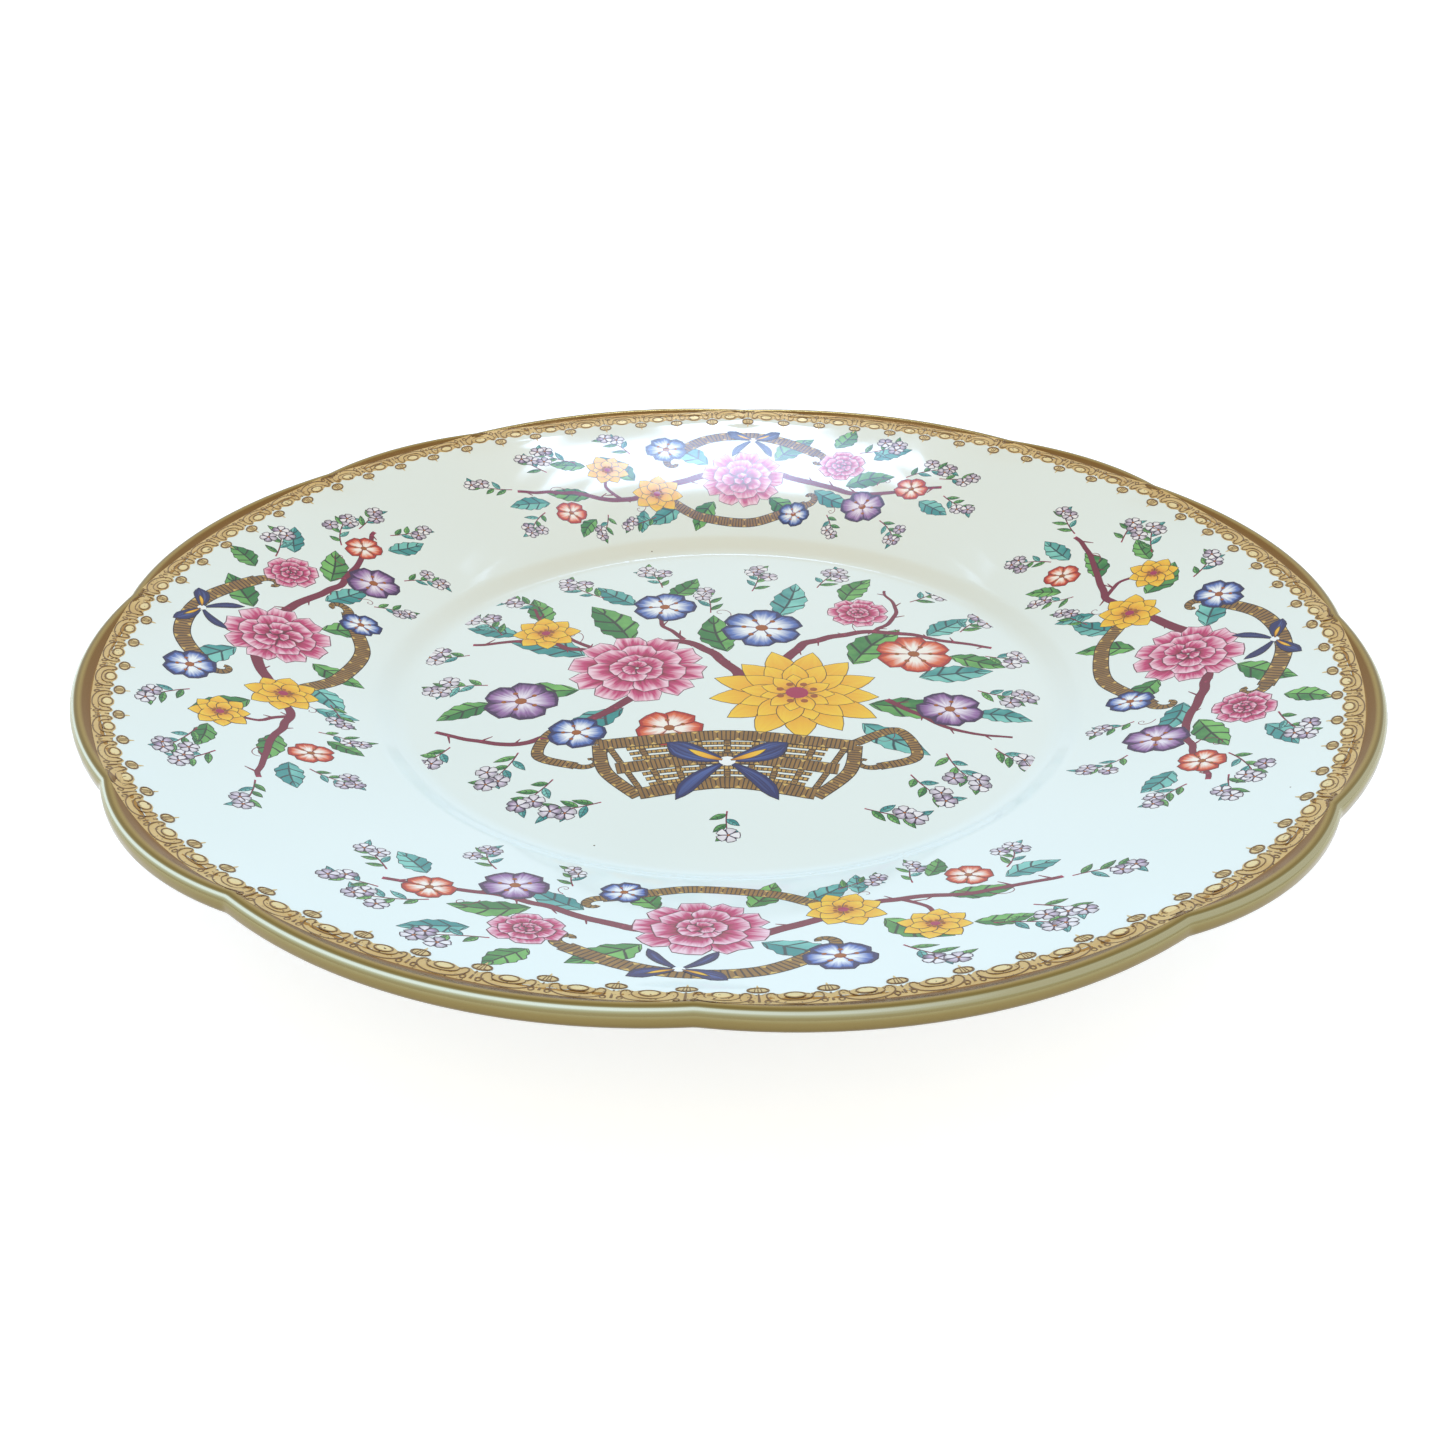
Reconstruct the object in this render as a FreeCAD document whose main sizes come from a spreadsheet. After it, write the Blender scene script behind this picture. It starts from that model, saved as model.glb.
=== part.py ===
"""Dinner plate of glazed and gilded china, with fired enamel flowers.

Frame: millimetres, +Z up, origin in the middle of the foot ring's bearing plane.
The plate is one fired body. Its glaze, gilding and enamels are layers of their own.
"""
import FreeCAD, Part
import math
import os

import Sketcher
from FreeCAD import Placement, Rotation, Vector

# Each size can be set by itself, in millimetres or degrees.
SIZES = {
    # outline, seen from above: eight long lobes and four short ones
    "plate_radius": 130.0,
    "notch_depth": 2.2,
    "notch_round": 2.4,
    "short_lobe_span": 20.4,
    "outline_turn": -2.0,
    # section
    "rim_height": 27.3,
    "brim_thickness": 3.9,
    "well_radius": 70.0,
    "well_height": 7.0,
    "well_thickness": 4.0,
    "step_height": 3.0,
    "step_slope": 32.0,
    "step_round": 8.0,
    "foot_offset": 4.0,
    "foot_width": 3.2,
    "foot_flare": 2.8,
    "foot_root_round": 2.0,
    "lip_round": 1.6,
    # fired layers
    "glaze_depth": 0.25,
    "relief": 0.2,
    "gilt_margin": 1.8,
    "border_width": 3.0,
    "border_count": 76.0,
    "border_turn": -7.4,
    "scallop_depth": 0.9,
    "bud_gap": 1.3,
    "bud_length": 1.9,
    "bud_width": 3.2,
    # enamel flowers, and the brim and well that their arrangements are drawn for
    "spray_count": 4.0,
    "spray_turn": 0.0,
    "flower_scale": 1.0,
    "spray_breadth": 51.2,
    "bouquet_reach": 70.0,
    "stem_width": 1.8,
    "scroll_width": 3.6,
}

doc = FreeCAD.newDocument("DinnerPlate")
sheet = doc.addObject("Spreadsheet::Sheet", "Sizes")
for row, (name, value) in enumerate(SIZES.items(), start=1):
    sheet.set(f"A{row}", name)
    sheet.set(f"B{row}", str(value))
    sheet.setAlias(f"B{row}", name)
doc.recompute()


def size(expression):
    """The value of a sheet cell, or of an expression of cells."""
    result = sheet.evalExpression(expression.replace("Sizes.", ""))
    return float(getattr(result, "Value", result))


# ---------------------------------------------------------------- section of the plate

STEP_SLOPE = "(Sizes.step_slope * 1 deg)"
STEP_RADIUS = "(Sizes.well_radius + Sizes.step_height / tan(Sizes.step_slope))"
STEP_TOP = "(Sizes.well_height + Sizes.step_height)"
BRIM_RISE = f"((Sizes.rim_height - {STEP_TOP}) / (Sizes.plate_radius - {STEP_RADIUS}))"
BRIM_SLOPE = f"atan({BRIM_RISE})"
FOOT_OUTSIDE = "(Sizes.well_radius + Sizes.foot_offset + Sizes.foot_width / 2)"
FOOT_INSIDE = f"({FOOT_OUTSIDE} - Sizes.foot_width)"
RECESS_HEIGHT = "(Sizes.well_height - Sizes.well_thickness)"
BEYOND_EDGE = "(Sizes.plate_radius + 4 * Sizes.notch_round)"
ABOVE_RIM = "(Sizes.rim_height + Sizes.brim_thickness)"


def brim_top(radius, skin):
    """Height of the brim's upper side at a radius, a skin's depth below the glaze."""
    return (f"({STEP_TOP} + (({radius}) - {STEP_RADIUS}) * {BRIM_RISE}"
            f" - ({skin}) / cos({BRIM_SLOPE}))")


def brim_under(radius, skin):
    """Height of the brim's underside at a radius, a skin's depth inside the glaze."""
    return brim_top(radius, f"Sizes.brim_thickness - ({skin})")


def plate_section(skin):
    """Corners of half the plate's section, from the middle of the well outwards and back."""
    edge = "(Sizes.plate_radius + Sizes.notch_round)"
    well_corner = f"(Sizes.well_radius + ({skin}) * tan({STEP_SLOPE} / 2))"
    well_top = f"(Sizes.well_height - ({skin}))"
    step_corner = f"({STEP_RADIUS} + ({skin}) * tan(({STEP_SLOPE} + {BRIM_SLOPE}) / 2))"
    foot_outside = f"({FOOT_OUTSIDE} - ({skin}))"
    foot_inside = f"({FOOT_INSIDE} + ({skin}))"
    root_outside = f"({foot_outside} + Sizes.foot_flare)"
    root_inside = f"({foot_inside} - Sizes.foot_flare / 2)"
    recess = f"({RECESS_HEIGHT} + ({skin}))"
    return [
        ("0", well_top),
        (well_corner, well_top),
        (step_corner, brim_top(step_corner, skin)),
        (edge, brim_top(edge, skin)),
        (edge, brim_under(edge, skin)),
        (root_outside, brim_under(root_outside, skin)),
        (foot_outside, "0"),
        (foot_inside, "0"),
        (root_inside, recess),
        ("0", recess),
    ]


# ---------------------------------------------------------------- lobed outline

def lobe_bend(half_span, skin):
    """Radius of the arc that a lobe follows from notch to notch."""
    notch = "(Sizes.plate_radius - Sizes.notch_depth)"
    rise = f"(Sizes.plate_radius - {notch} * cos({half_span}))"
    reach = f"({notch} * sin({half_span}))"
    return f"(({reach}^2 + {rise}^2) / (2 * {rise}) - ({skin}))"


def lobe_list():
    """(middle angle, half span) of each lobe, as expressions, counter-clockwise."""
    short_half = "(Sizes.short_lobe_span / 2)"
    long_half = "((90 - Sizes.short_lobe_span) / 4)"
    lobes = []
    for quarter in range(4):
        corner = f"(Sizes.outline_turn + {45 + 90 * quarter})"
        lobes.append((f"({corner} - {short_half} - {long_half})", long_half))
        lobes.append((corner, short_half))
        lobes.append((f"({corner} + {short_half} + {long_half})", long_half))
    return lobes


# ---------------------------------------------------------------- sketches

def new_sketch(body, name, role):
    """A sketch on one of the body's own origin planes."""
    plane = next(item for item in body.Origin.OriginFeatures if item.Role == role)
    sketch = body.newObject("Sketcher::SketchObject", name)
    sketch.AttachmentSupport = [(plane, "")]
    sketch.MapMode = "FlatFace"
    return sketch


def bind(sketch, kind, *where_and_expression):
    """A dimension of the sketch that follows an expression of the sheet."""
    *where, expression = where_and_expression
    index = sketch.addConstraint(Sketcher.Constraint(kind, *where, size(expression)))
    sketch.setExpression(f"Constraints[{index}]", expression)


def chain(sketch, count):
    """Joins the sketch's first lines or arcs end to end, in a closed loop."""
    for index in range(count):
        sketch.addConstraint(Sketcher.Constraint("Coincident", index, 2, (index + 1) % count, 1))


def draw_polygon(sketch, corners):
    """A closed polygon whose corners follow pairs of expressions (across, up)."""
    points = [Vector(size(across), size(up), 0) for across, up in corners]
    for start, point in enumerate(points):
        sketch.addGeometry(Part.LineSegment(point, points[(start + 1) % len(points)]))
    chain(sketch, len(points))
    for start, (across, up) in enumerate(corners):
        bind(sketch, "DistanceX", -1, 1, start, 1, across)
        bind(sketch, "DistanceY", -1, 1, start, 1, up)


def draw_outline(sketch, skin):
    """The lobed outline: twelve arcs that meet at the notches."""
    lobes = lobe_list()
    notch = size("plate_radius - notch_depth")
    for middle, half_span in lobes:
        full_bend = size(lobe_bend(half_span, "0"))
        offset = size("plate_radius") - full_bend
        angle = math.radians(size(middle))
        reach = math.asin(notch * math.sin(math.radians(size(half_span))) / full_bend)
        centre = Vector(offset * math.cos(angle), offset * math.sin(angle), 0)
        circle = Part.Circle(centre, Vector(0, 0, 1), full_bend - size(skin))
        sketch.addGeometry(Part.ArcOfCircle(circle, angle - reach, angle + reach))
    chain(sketch, len(lobes))
    for index, (middle, half_span) in enumerate(lobes):
        bend = lobe_bend(half_span, skin)
        offset = f"(Sizes.plate_radius - ({skin}) - {bend})"
        bind(sketch, "Radius", index, bend)
        bind(sketch, "DistanceX", -1, 1, index, 3, f"{offset} * cos({middle})")
        bind(sketch, "DistanceY", -1, 1, index, 3, f"{offset} * sin({middle})")


# ---------------------------------------------------------------- the plate's form

def rings_at(shape, corner):
    """Names of the full circles about the axis through a corner of the section."""
    radius, height = size(corner[0]), size(corner[1])
    names = []
    for index, edge in enumerate(shape.Edges, start=1):
        curve = edge.Curve
        if isinstance(curve, Part.Circle) and abs(curve.Radius - radius) < 0.01:
            if abs(curve.Center.z - height) < 0.01:
                names.append(f"Edge{index}")
    return names


def notch_edges(shape):
    """Names of the upright edges in the notches of the lobed wall."""
    names = []
    for index, edge in enumerate(shape.Edges, start=1):
        box = edge.BoundBox
        upright = box.XLength < 0.01 and box.YLength < 0.01
        if upright and math.hypot(box.Center.x, box.Center.y) > size(BEYOND_EDGE) * 0.8:
            names.append(f"Edge{index}")
    return names


def lip_edges(shape):
    """Names of the upper and lower edges of the lobed wall."""
    names = []
    inside = size("plate_radius - notch_depth - notch_round")
    for index, edge in enumerate(shape.Edges, start=1):
        upright = edge.BoundBox.ZLength > 0.6 * size("brim_thickness")
        nearest = min(math.hypot(point.X, point.Y) for point in edge.Vertexes)
        if nearest > inside and not upright:
            names.append(f"Edge{index}")
    return names


def round_edges(body, name, base, edges, radius):
    """A fillet on named edges of a feature."""
    if not edges:
        raise RuntimeError(f"{name}: no edges to round")
    fillet = body.newObject("PartDesign::Fillet", name)
    fillet.Base = (base, edges)
    fillet.setExpression("Radius", radius)
    doc.recompute()
    return fillet


def plate_form(name, skin):
    """The whole plate as a body, a skin's depth inside its finished surface."""
    body = doc.addObject("PartDesign::Body", name)
    section = new_sketch(body, f"{name}_section", "XZ_Plane")
    corners = plate_section(skin)
    draw_polygon(section, corners)
    turned = body.newObject("PartDesign::Revolution", f"{name}_turned")
    turned.Profile = section
    turned.ReferenceAxis = (section, ["V_Axis"])
    turned.Angle = 360
    doc.recompute()

    rounded = turned
    bends = (("well", 1, f"Sizes.step_round + ({skin})"),
             ("step", 2, f"Sizes.step_round - ({skin})"),
             ("root", 5, f"Sizes.foot_root_round + ({skin})"))
    for place, corner, radius in bends:
        rounded = round_edges(body, f"{name}_{place}_bend", rounded,
                              rings_at(rounded.Shape, corners[corner]), radius)

    outline = new_sketch(body, f"{name}_outline", "XY_Plane")
    draw_outline(outline, skin)
    rim = outline.addGeometry(Part.Circle(Vector(), Vector(0, 0, 1), size(BEYOND_EDGE)))
    outline.addConstraint(Sketcher.Constraint("Coincident", rim, 3, -1, 1))
    bind(outline, "Radius", rim, BEYOND_EDGE)
    trimmed = body.newObject("PartDesign::Pocket", f"{name}_trimmed")
    trimmed.Profile = outline
    trimmed.Type = "ThroughAll"
    trimmed.Reversed = True
    doc.recompute()
    if trimmed.Shape.Volume > 0.999 * rounded.Shape.Volume:
        raise RuntimeError(f"{name}: the outline was not trimmed")

    notched = round_edges(body, f"{name}_notches", trimmed, notch_edges(trimmed.Shape),
                          f"Sizes.notch_round + ({skin})")
    round_edges(body, f"{name}_lip", notched, lip_edges(notched.Shape),
                f"Sizes.lip_round - ({skin})")
    return body


china_body = plate_form("china_body", "Sizes.glaze_depth")
finished_form = plate_form("finished_form", "0")


# ---------------------------------------------------------------- glaze and gilt lip

def cylinder(name, radius, low, high):
    """An upright cylinder about the axis."""
    solid = doc.addObject("Part::Cylinder", name)
    solid.setExpression("Radius", radius)
    solid.setExpression("Height", f"({high}) - ({low})")
    solid.setExpression("Placement.Base.z", low)
    return solid


def boolean(kind, name, base, tool):
    """A Part::Cut or Part::Common of two objects."""
    result = doc.addObject(f"Part::{kind}", name)
    result.Base = base
    result.Tool = tool
    return result


def turned_zone(name, corners):
    """A solid of revolution from a section on the XZ plane."""
    sketch = doc.addObject("Sketcher::SketchObject", f"{name}_section")
    sketch.Placement = Placement(Vector(), Rotation(Vector(1, 0, 0), 90))
    draw_polygon(sketch, corners)
    zone = doc.addObject("Part::Revolution", name)
    zone.Source = sketch
    zone.Axis = Vector(0, 0, 1)
    zone.Angle = 360
    zone.Solid = True
    return zone


GILT_RADIUS = "(Sizes.plate_radius - Sizes.notch_depth - Sizes.gilt_margin)"

coat = boolean("Cut", "coat", finished_form, china_body)
edge_zone = boolean(
    "Cut", "edge_zone",
    cylinder("edge_outside", BEYOND_EDGE, "0", ABOVE_RIM),
    cylinder("edge_inside", GILT_RADIUS, "-1", f"{ABOVE_RIM} + 1"))
gilt_lip = boolean("Common", "gilt_lip", coat, edge_zone)
glaze = boolean("Cut", "glaze", coat, edge_zone)

# A surface through the middle of the china parts the face glaze from the back glaze.
MID_DEPTH = "Sizes.brim_thickness / 2"
WELL_MIDDLE = f"((Sizes.well_height + {RECESS_HEIGHT}) / 2)"
face_zone = turned_zone("face_zone", [
    ("0", WELL_MIDDLE),
    (f"{FOOT_INSIDE} - Sizes.foot_width / 2", WELL_MIDDLE),
    (FOOT_OUTSIDE, brim_top(FOOT_OUTSIDE, MID_DEPTH)),
    (BEYOND_EDGE, brim_top(BEYOND_EDGE, MID_DEPTH)),
    (BEYOND_EDGE, brim_top(BEYOND_EDGE, "-Sizes.brim_thickness")),
    ("0", ABOVE_RIM),
])
glaze_face = boolean("Common", "glaze_face", glaze, face_zone)
glaze_back = boolean("Cut", "glaze_back", glaze, face_zone)

# The fired colours stand a little proud of the glaze, on the brim and in the well.
brim_layer = turned_zone("brim_layer", [
    (STEP_RADIUS, brim_top(STEP_RADIUS, "0")),
    (GILT_RADIUS, brim_top(GILT_RADIUS, "0")),
    (GILT_RADIUS, brim_top(GILT_RADIUS, "-Sizes.relief")),
    (STEP_RADIUS, brim_top(STEP_RADIUS, "-Sizes.relief")),
])
doc.recompute()


# ---------------------------------------------------------------- flat outlines of the decoration

def polar(radius, degrees):
    """A point in plan at a distance and a direction from the origin."""
    angle = math.radians(degrees)
    return Vector(radius * math.cos(angle), radius * math.sin(angle), 0)


def leaf_face(place, heading, length, width):
    """A pointed leaf from its stalk end, between two arcs."""
    tip = place + polar(length, heading)
    middle = (place + tip) * 0.5
    side = polar(width / 2, heading + 90)
    return Part.Face(Part.Wire([
        Part.Arc(place, middle + side, tip).toShape(),
        Part.Arc(tip, middle - side, place).toShape(),
    ]))


def flower_face(place, turn, radius, petals):
    """A flower seen from the front: a round of petal ends."""
    step = 360 / petals
    arcs = []
    for index in range(petals):
        start = turn + index * step
        arcs.append(Part.Arc(
            place + polar(0.82 * radius, start),
            place + polar(radius, start + step / 2),
            place + polar(0.82 * radius, start + step)).toShape())
    return Part.Face(Part.Wire(arcs))


def band_face(start, middle, end, width):
    """A curved band of one width through three points."""
    centre = Part.Arc(start, middle, end).toShape().Curve.Center
    sides = []
    for shift in (width / 2, -width / 2):
        sides.append([point + (point - centre).normalize() * shift
                      for point in (start, middle, end)])
    outer, inner = sides
    return Part.Face(Part.Wire([
        Part.Arc(*outer).toShape(),
        Part.LineSegment(outer[2], inner[2]).toShape(),
        Part.Arc(inner[2], inner[1], inner[0]).toShape(),
        Part.LineSegment(inner[0], outer[0]).toShape(),
    ]))


def place_faces(pieces):
    """Faces of each colour, where a later piece gives way to an earlier one."""
    taken = None
    faces = {}
    for colour, face in pieces:
        left = face.cut(taken) if taken else face
        taken = taken.fuse(face) if taken else face
        faces.setdefault(colour, []).extend(
            item for item in left.Faces if item.Area > size("stem_width")**2)
    return faces


# ---------------------------------------------------------------- the flowers' arrangement

# A brim spray, along the brim and outwards from its middle.
# Flowers: colour, along, outwards, radius, petals.
SPRAY_FLOWERS = (
    ("rose_enamel", -4, 0, 12, 9),
    ("rose_enamel", -29, 8, 6.5, 6),
    ("yellow_enamel", 20, -5, 7.5, 8),
    ("yellow_enamel", 31, 6.5, 6, 8),
    ("purple_enamel", -39, -7, 6.5, 5),
    ("blue_enamel", 15, 13, 5.4, 5),
    ("blue_enamel", -20, -13, 5, 5),
    ("iron_red_enamel", 46, -8, 4.6, 5),
    ("iron_red_enamel", -49, 3, 4.6, 5),
)
# Leaves and ribbon loops: colour, along, outwards, heading, length, width.
SPRAY_LEAVES = (
    ("green_enamel", -12, 8, 130, 13, 6),
    ("green_enamel", -12, -7, 225, 13, 6),
    ("green_enamel", 4, -9, 300, 13, 6),
    ("green_enamel", 25, 1, 60, 13, 6),
    ("green_enamel", -32, 0, 150, 13, 6),
    ("green_enamel", 38, -3, 20, 12, 5),
    ("turquoise_enamel", 5, 6, 40, 14, 6),
    ("turquoise_enamel", 14, -10, 330, 13, 5.5),
    ("turquoise_enamel", -24, -3, 200, 13, 5.5),
    ("turquoise_enamel", 50, -3, 10, 11, 5),
    ("turquoise_enamel", -53, -1, 195, 10, 5),
    ("blue_enamel", -6, 16.5, 150, 7, 3.2),
    ("blue_enamel", -6, 16.5, 30, 7, 3.2),
)
# Stems and scrolls: colour, then three points (along, outwards).
SPRAY_BANDS = (
    ("plum_enamel", (-56, 6), (-36, -2), (-14, 2)),
    ("plum_enamel", (6, 2), (30, -6), (54, 4)),
    ("brown_enamel", (-21, -10), (-3, -17), (15, -10)),
    ("brown_enamel", (-21, 12), (-4, 17.5), (13, 11)),
)
# The bouquet in the well, across and up from its middle.
WELL_FLOWERS = (
    ("rose_enamel", -20, 8, 16.5, 10),
    ("yellow_enamel", 15, -3, 19.5, 13),
    ("blue_enamel", 8, 28, 10, 6),
    ("purple_enamel", -44, -7, 8.5, 5),
    ("iron_red_enamel", 42, 15, 9, 6),
    ("rose_enamel", 31, 36, 8, 7),
    ("yellow_enamel", -42, 25, 8, 8),
    ("blue_enamel", -15, 39, 8, 5),
    ("iron_red_enamel", -12, -18, 7.5, 5),
    ("purple_enamel", 47, -10, 7.5, 5),
    ("blue_enamel", -31, -20, 6.5, 5),
)
WELL_LEAVES = (
    ("blue_enamel", 0, -31, 150, 14, 6.3),
    ("blue_enamel", 0, -31, 30, 14, 6.3),
    ("blue_enamel", 0, -31, 235, 17, 3.9),
    ("blue_enamel", 0, -31, 305, 17, 3.9),
    ("green_enamel", -22, 21, 120, 21, 9),
    ("green_enamel", -32, -2, 195, 20, 8),
    ("green_enamel", 28, 10, 55, 21, 9),
    ("green_enamel", 30, -8, 345, 20, 8),
    ("green_enamel", 0, 16, 100, 19, 8),
    ("turquoise_enamel", 12, 34, 75, 19, 8),
    ("turquoise_enamel", -32, 14, 160, 19, 8),
    ("turquoise_enamel", 42, 4, 10, 17, 7),
    ("turquoise_enamel", 28, -16, 315, 18, 7),
    ("turquoise_enamel", -22, -10, 230, 18, 7),
)
WELL_BANDS = (
    ("plum_enamel", (-54, 20), (-30, 16), (-10, 22)),
    ("plum_enamel", (16, 20), (34, 26), (56, 20)),
    ("plum_enamel", (-26, -12), (-40, -24), (-56, -22)),
    ("brown_enamel", (-26, -25), (0, -21), (26, -25)),
    ("brown_enamel", (-22, -34), (0, -30), (22, -34)),
    ("brown_enamel", (-17, -43), (0, -39), (17, -43)),
    ("brown_enamel", (-28, -23), (-37, -23), (-31, -33)),
    ("brown_enamel", (28, -23), (37, -23), (31, -33)),
)

SPRAY_RADIUS = (f"(({STEP_RADIUS} + {GILT_RADIUS} - Sizes.border_width - Sizes.bud_gap"
                f" - Sizes.bud_length) / 2)")
SPRAY_SCALE = f"(Sizes.flower_scale * ({GILT_RADIUS} - {STEP_RADIUS}) / Sizes.spray_breadth)"
BOUQUET_SCALE = "(Sizes.flower_scale * Sizes.well_radius / Sizes.bouquet_reach)"


def spray_point(along, outwards):
    """A point of a brim spray that lies along the +X side of the brim."""
    scale = size(SPRAY_SCALE)
    radius = size(SPRAY_RADIUS)
    return polar(radius + scale * outwards, math.degrees(scale * along / radius))


def spray_heading(place, heading):
    """A heading in plan, from one that turns from along the brim to outwards."""
    return math.degrees(math.atan2(place.y, place.x)) + 90 - heading


def well_point(across, up):
    """A point of the well's bouquet."""
    return Vector(across, up, 0) * size(BOUQUET_SCALE)


def well_heading(_place, heading):
    """A heading in the well is already one in plan."""
    return heading


def arrange(flowers, leaves, bands, scale, point, turned):
    """Faces of each colour for one arrangement."""
    widths = {"plum_enamel": size("stem_width"), "brown_enamel": size("scroll_width")}
    pieces = []
    for colour, along, across, radius, petals in flowers:
        place = point(along, across)
        pieces.append((colour, flower_face(place, 90, scale * radius, petals)))
    for colour, along, across, heading, length, width in leaves:
        place = point(along, across)
        direction = turned(place, heading)
        pieces.append((colour, leaf_face(place, direction, scale * length, scale * width)))
    for colour, *stations in bands:
        start, middle, end = (point(*station) for station in stations)
        pieces.append((colour, band_face(start, middle, end, scale * widths[colour])))
    return place_faces(pieces)


def border_faces():
    """The scalloped gilt band and its row of buds, as faces in plan."""
    outside = size(GILT_RADIUS)
    inside = outside - size("border_width")
    cusp = inside + size("scallop_depth")
    count = round(size("border_count"))
    step = 360 / count
    bud_middle = cusp - size("bud_gap + bud_length / 2")
    arcs = []
    buds = []
    for index in range(count):
        start = size("border_turn") + index * step
        arcs.append(Part.Arc(polar(cusp, start), polar(inside, start + step / 2),
                             polar(cusp, start + step)).toShape())
        middle = polar(bud_middle, start)
        ends = [polar(size("bud_length / 2"), start), polar(size("bud_width / 2"), start + 90)]
        ends.sort(key=lambda end: end.Length, reverse=True)
        bud = Part.Ellipse(middle + ends[0], middle + ends[1], middle)
        buds.append(Part.Face(Part.Wire(bud.toShape())))
    rim = Part.Wire(Part.Circle(Vector(), Vector(0, 0, 1), outside).toShape())
    band = Part.Face(rim).cut(Part.Face(Part.Wire(arcs)))
    return band.Faces + buds


def on_brim(faces):
    """Faces in plan carried up on to the brim, as solids."""
    raised = [face.extrude(Vector(0, 0, size(ABOVE_RIM))) for face in faces]
    return Part.makeCompound(raised).common(brim_layer.Shape).Solids


def in_well(faces):
    """Faces in plan carried up on to the well's floor, as solids."""
    floor = Vector(0, 0, size("well_height"))
    return [face.translated(floor).extrude(Vector(0, 0, size("relief"))) for face in faces]


def layer(name, solids):
    """A node of separate fired patches."""
    node = doc.addObject("Part::Feature", name)
    node.Shape = Part.makeCompound(solids)
    return node


spray_faces = arrange(SPRAY_FLOWERS, SPRAY_LEAVES, SPRAY_BANDS, size(SPRAY_SCALE),
                      spray_point, spray_heading)
well_faces = arrange(WELL_FLOWERS, WELL_LEAVES, WELL_BANDS, size(BOUQUET_SCALE),
                     well_point, well_heading)
layers = [layer("gilt_border", on_brim(border_faces()))]
for colour, faces in spray_faces.items():
    first = on_brim(faces)
    solids = in_well(well_faces.get(colour, []))
    sprays = round(size("spray_count"))
    for index in range(sprays):
        turn = size("spray_turn") + 360 * index / sprays
        solids += [solid.rotated(Vector(), Vector(0, 0, 1), turn) for solid in first]
    layers.append(layer(colour, solids))
doc.recompute()


# ---------------------------------------------------------------- checks and files

nodes = [china_body, glaze_face, glaze_back, gilt_lip] + layers

for item in doc.Objects:
    if "Invalid" in item.State or "Error" in item.State:
        raise RuntimeError(f"{item.Name} failed: {item.State}")

os.makedirs("parts", exist_ok=True)
for node in nodes:
    shape = node.Shape
    if shape.isNull() or not shape.isValid() or not shape.Solids:
        raise RuntimeError(f"{node.Name} has no valid solid")
    shape.exportStep(f"parts/{node.Name}.step")
    print(f"{node.Name}: {len(shape.Solids)} solids, {shape.Volume:.1f} mm3,"
          f" top {shape.BoundBox.ZMax:.2f}")
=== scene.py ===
"""Looks of a glazed china dinner plate with a gilt edge and enamelled flowers.

Sizes are in millimetres and degrees, and meshes are turned to metres as they are made.
"""

import math
import random

import bmesh
import bpy
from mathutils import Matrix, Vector


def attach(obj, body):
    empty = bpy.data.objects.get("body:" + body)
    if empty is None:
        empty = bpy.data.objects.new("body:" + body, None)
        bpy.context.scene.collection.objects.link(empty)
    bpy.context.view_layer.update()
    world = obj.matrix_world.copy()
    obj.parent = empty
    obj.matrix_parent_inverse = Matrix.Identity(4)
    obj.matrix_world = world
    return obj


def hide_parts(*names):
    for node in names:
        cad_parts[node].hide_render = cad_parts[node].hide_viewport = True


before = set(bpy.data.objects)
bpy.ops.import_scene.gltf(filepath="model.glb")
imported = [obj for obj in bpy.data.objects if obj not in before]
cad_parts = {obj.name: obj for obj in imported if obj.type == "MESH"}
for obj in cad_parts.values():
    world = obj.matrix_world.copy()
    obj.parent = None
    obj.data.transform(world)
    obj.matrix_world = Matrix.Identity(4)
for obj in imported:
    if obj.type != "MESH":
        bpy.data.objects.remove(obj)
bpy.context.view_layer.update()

MM = 0.001

# The plate's sizes: the outline's lobes, and the section from the well to the lip.
PLATE_RADIUS = 130.0
NOTCH_RADIUS = 127.8
SHORT_HALF_SPAN = 10.2
LONG_HALF_SPAN = 17.4
OUTLINE_TURN = -2.0
RIM_HEIGHT = 27.3
BRIM_THICKNESS = 3.9
WELL_RADIUS = 70.0
WELL_HEIGHT = 7.0
RECESS_HEIGHT = 3.0
STEP_HEIGHT = 3.0
STEP_SLOPE = math.radians(32.0)
STEP_ROUND = 8.0
FOOT_ROOT = 78.4
FOOT_OUTSIDE = 75.6
FOOT_INSIDE = 72.4
RECESS_RADIUS = 71.0
LIP_ROUND = 1.6
GILT_RADIUS = 126.0
BORDER_COUNT = 76
BORDER_TURN = -7.4
BORDER_AND_BUDS = 6.2
FOOT_ROOT_ROUND = 2.0
FOOT_EDGE_ROUND = 0.6
RECESS_ROUND = 1.0
GOLD_START = 124.6
GROOVE_WIDTH = 3.6
GROOVE_DEPTH = 0.24
GOLD_END = 127.0
CREST_REACH = 2.16
# Points of the brim that only give its direction to the rounds at its two ends.
BRIM_POINT = 124.0
UNDERSIDE_POINT = 100.0
# The lobes fade in between these two radii, in metres.
LOBING_STARTS = 0.118
LOBING_FULL = 0.127
# Where every fired patch has its hidden underside, below the face of the glaze.
ROOT = -0.06

STEP_RADIUS = WELL_RADIUS + STEP_HEIGHT / math.tan(STEP_SLOPE)
STEP_TOP = WELL_HEIGHT + STEP_HEIGHT
BRIM_RISE = (RIM_HEIGHT - STEP_TOP) / (PLATE_RADIUS - STEP_RADIUS)
BRIM_SLOPE = math.atan(BRIM_RISE)


# ------------------------------------------------------------------ nodes and materials

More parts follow.
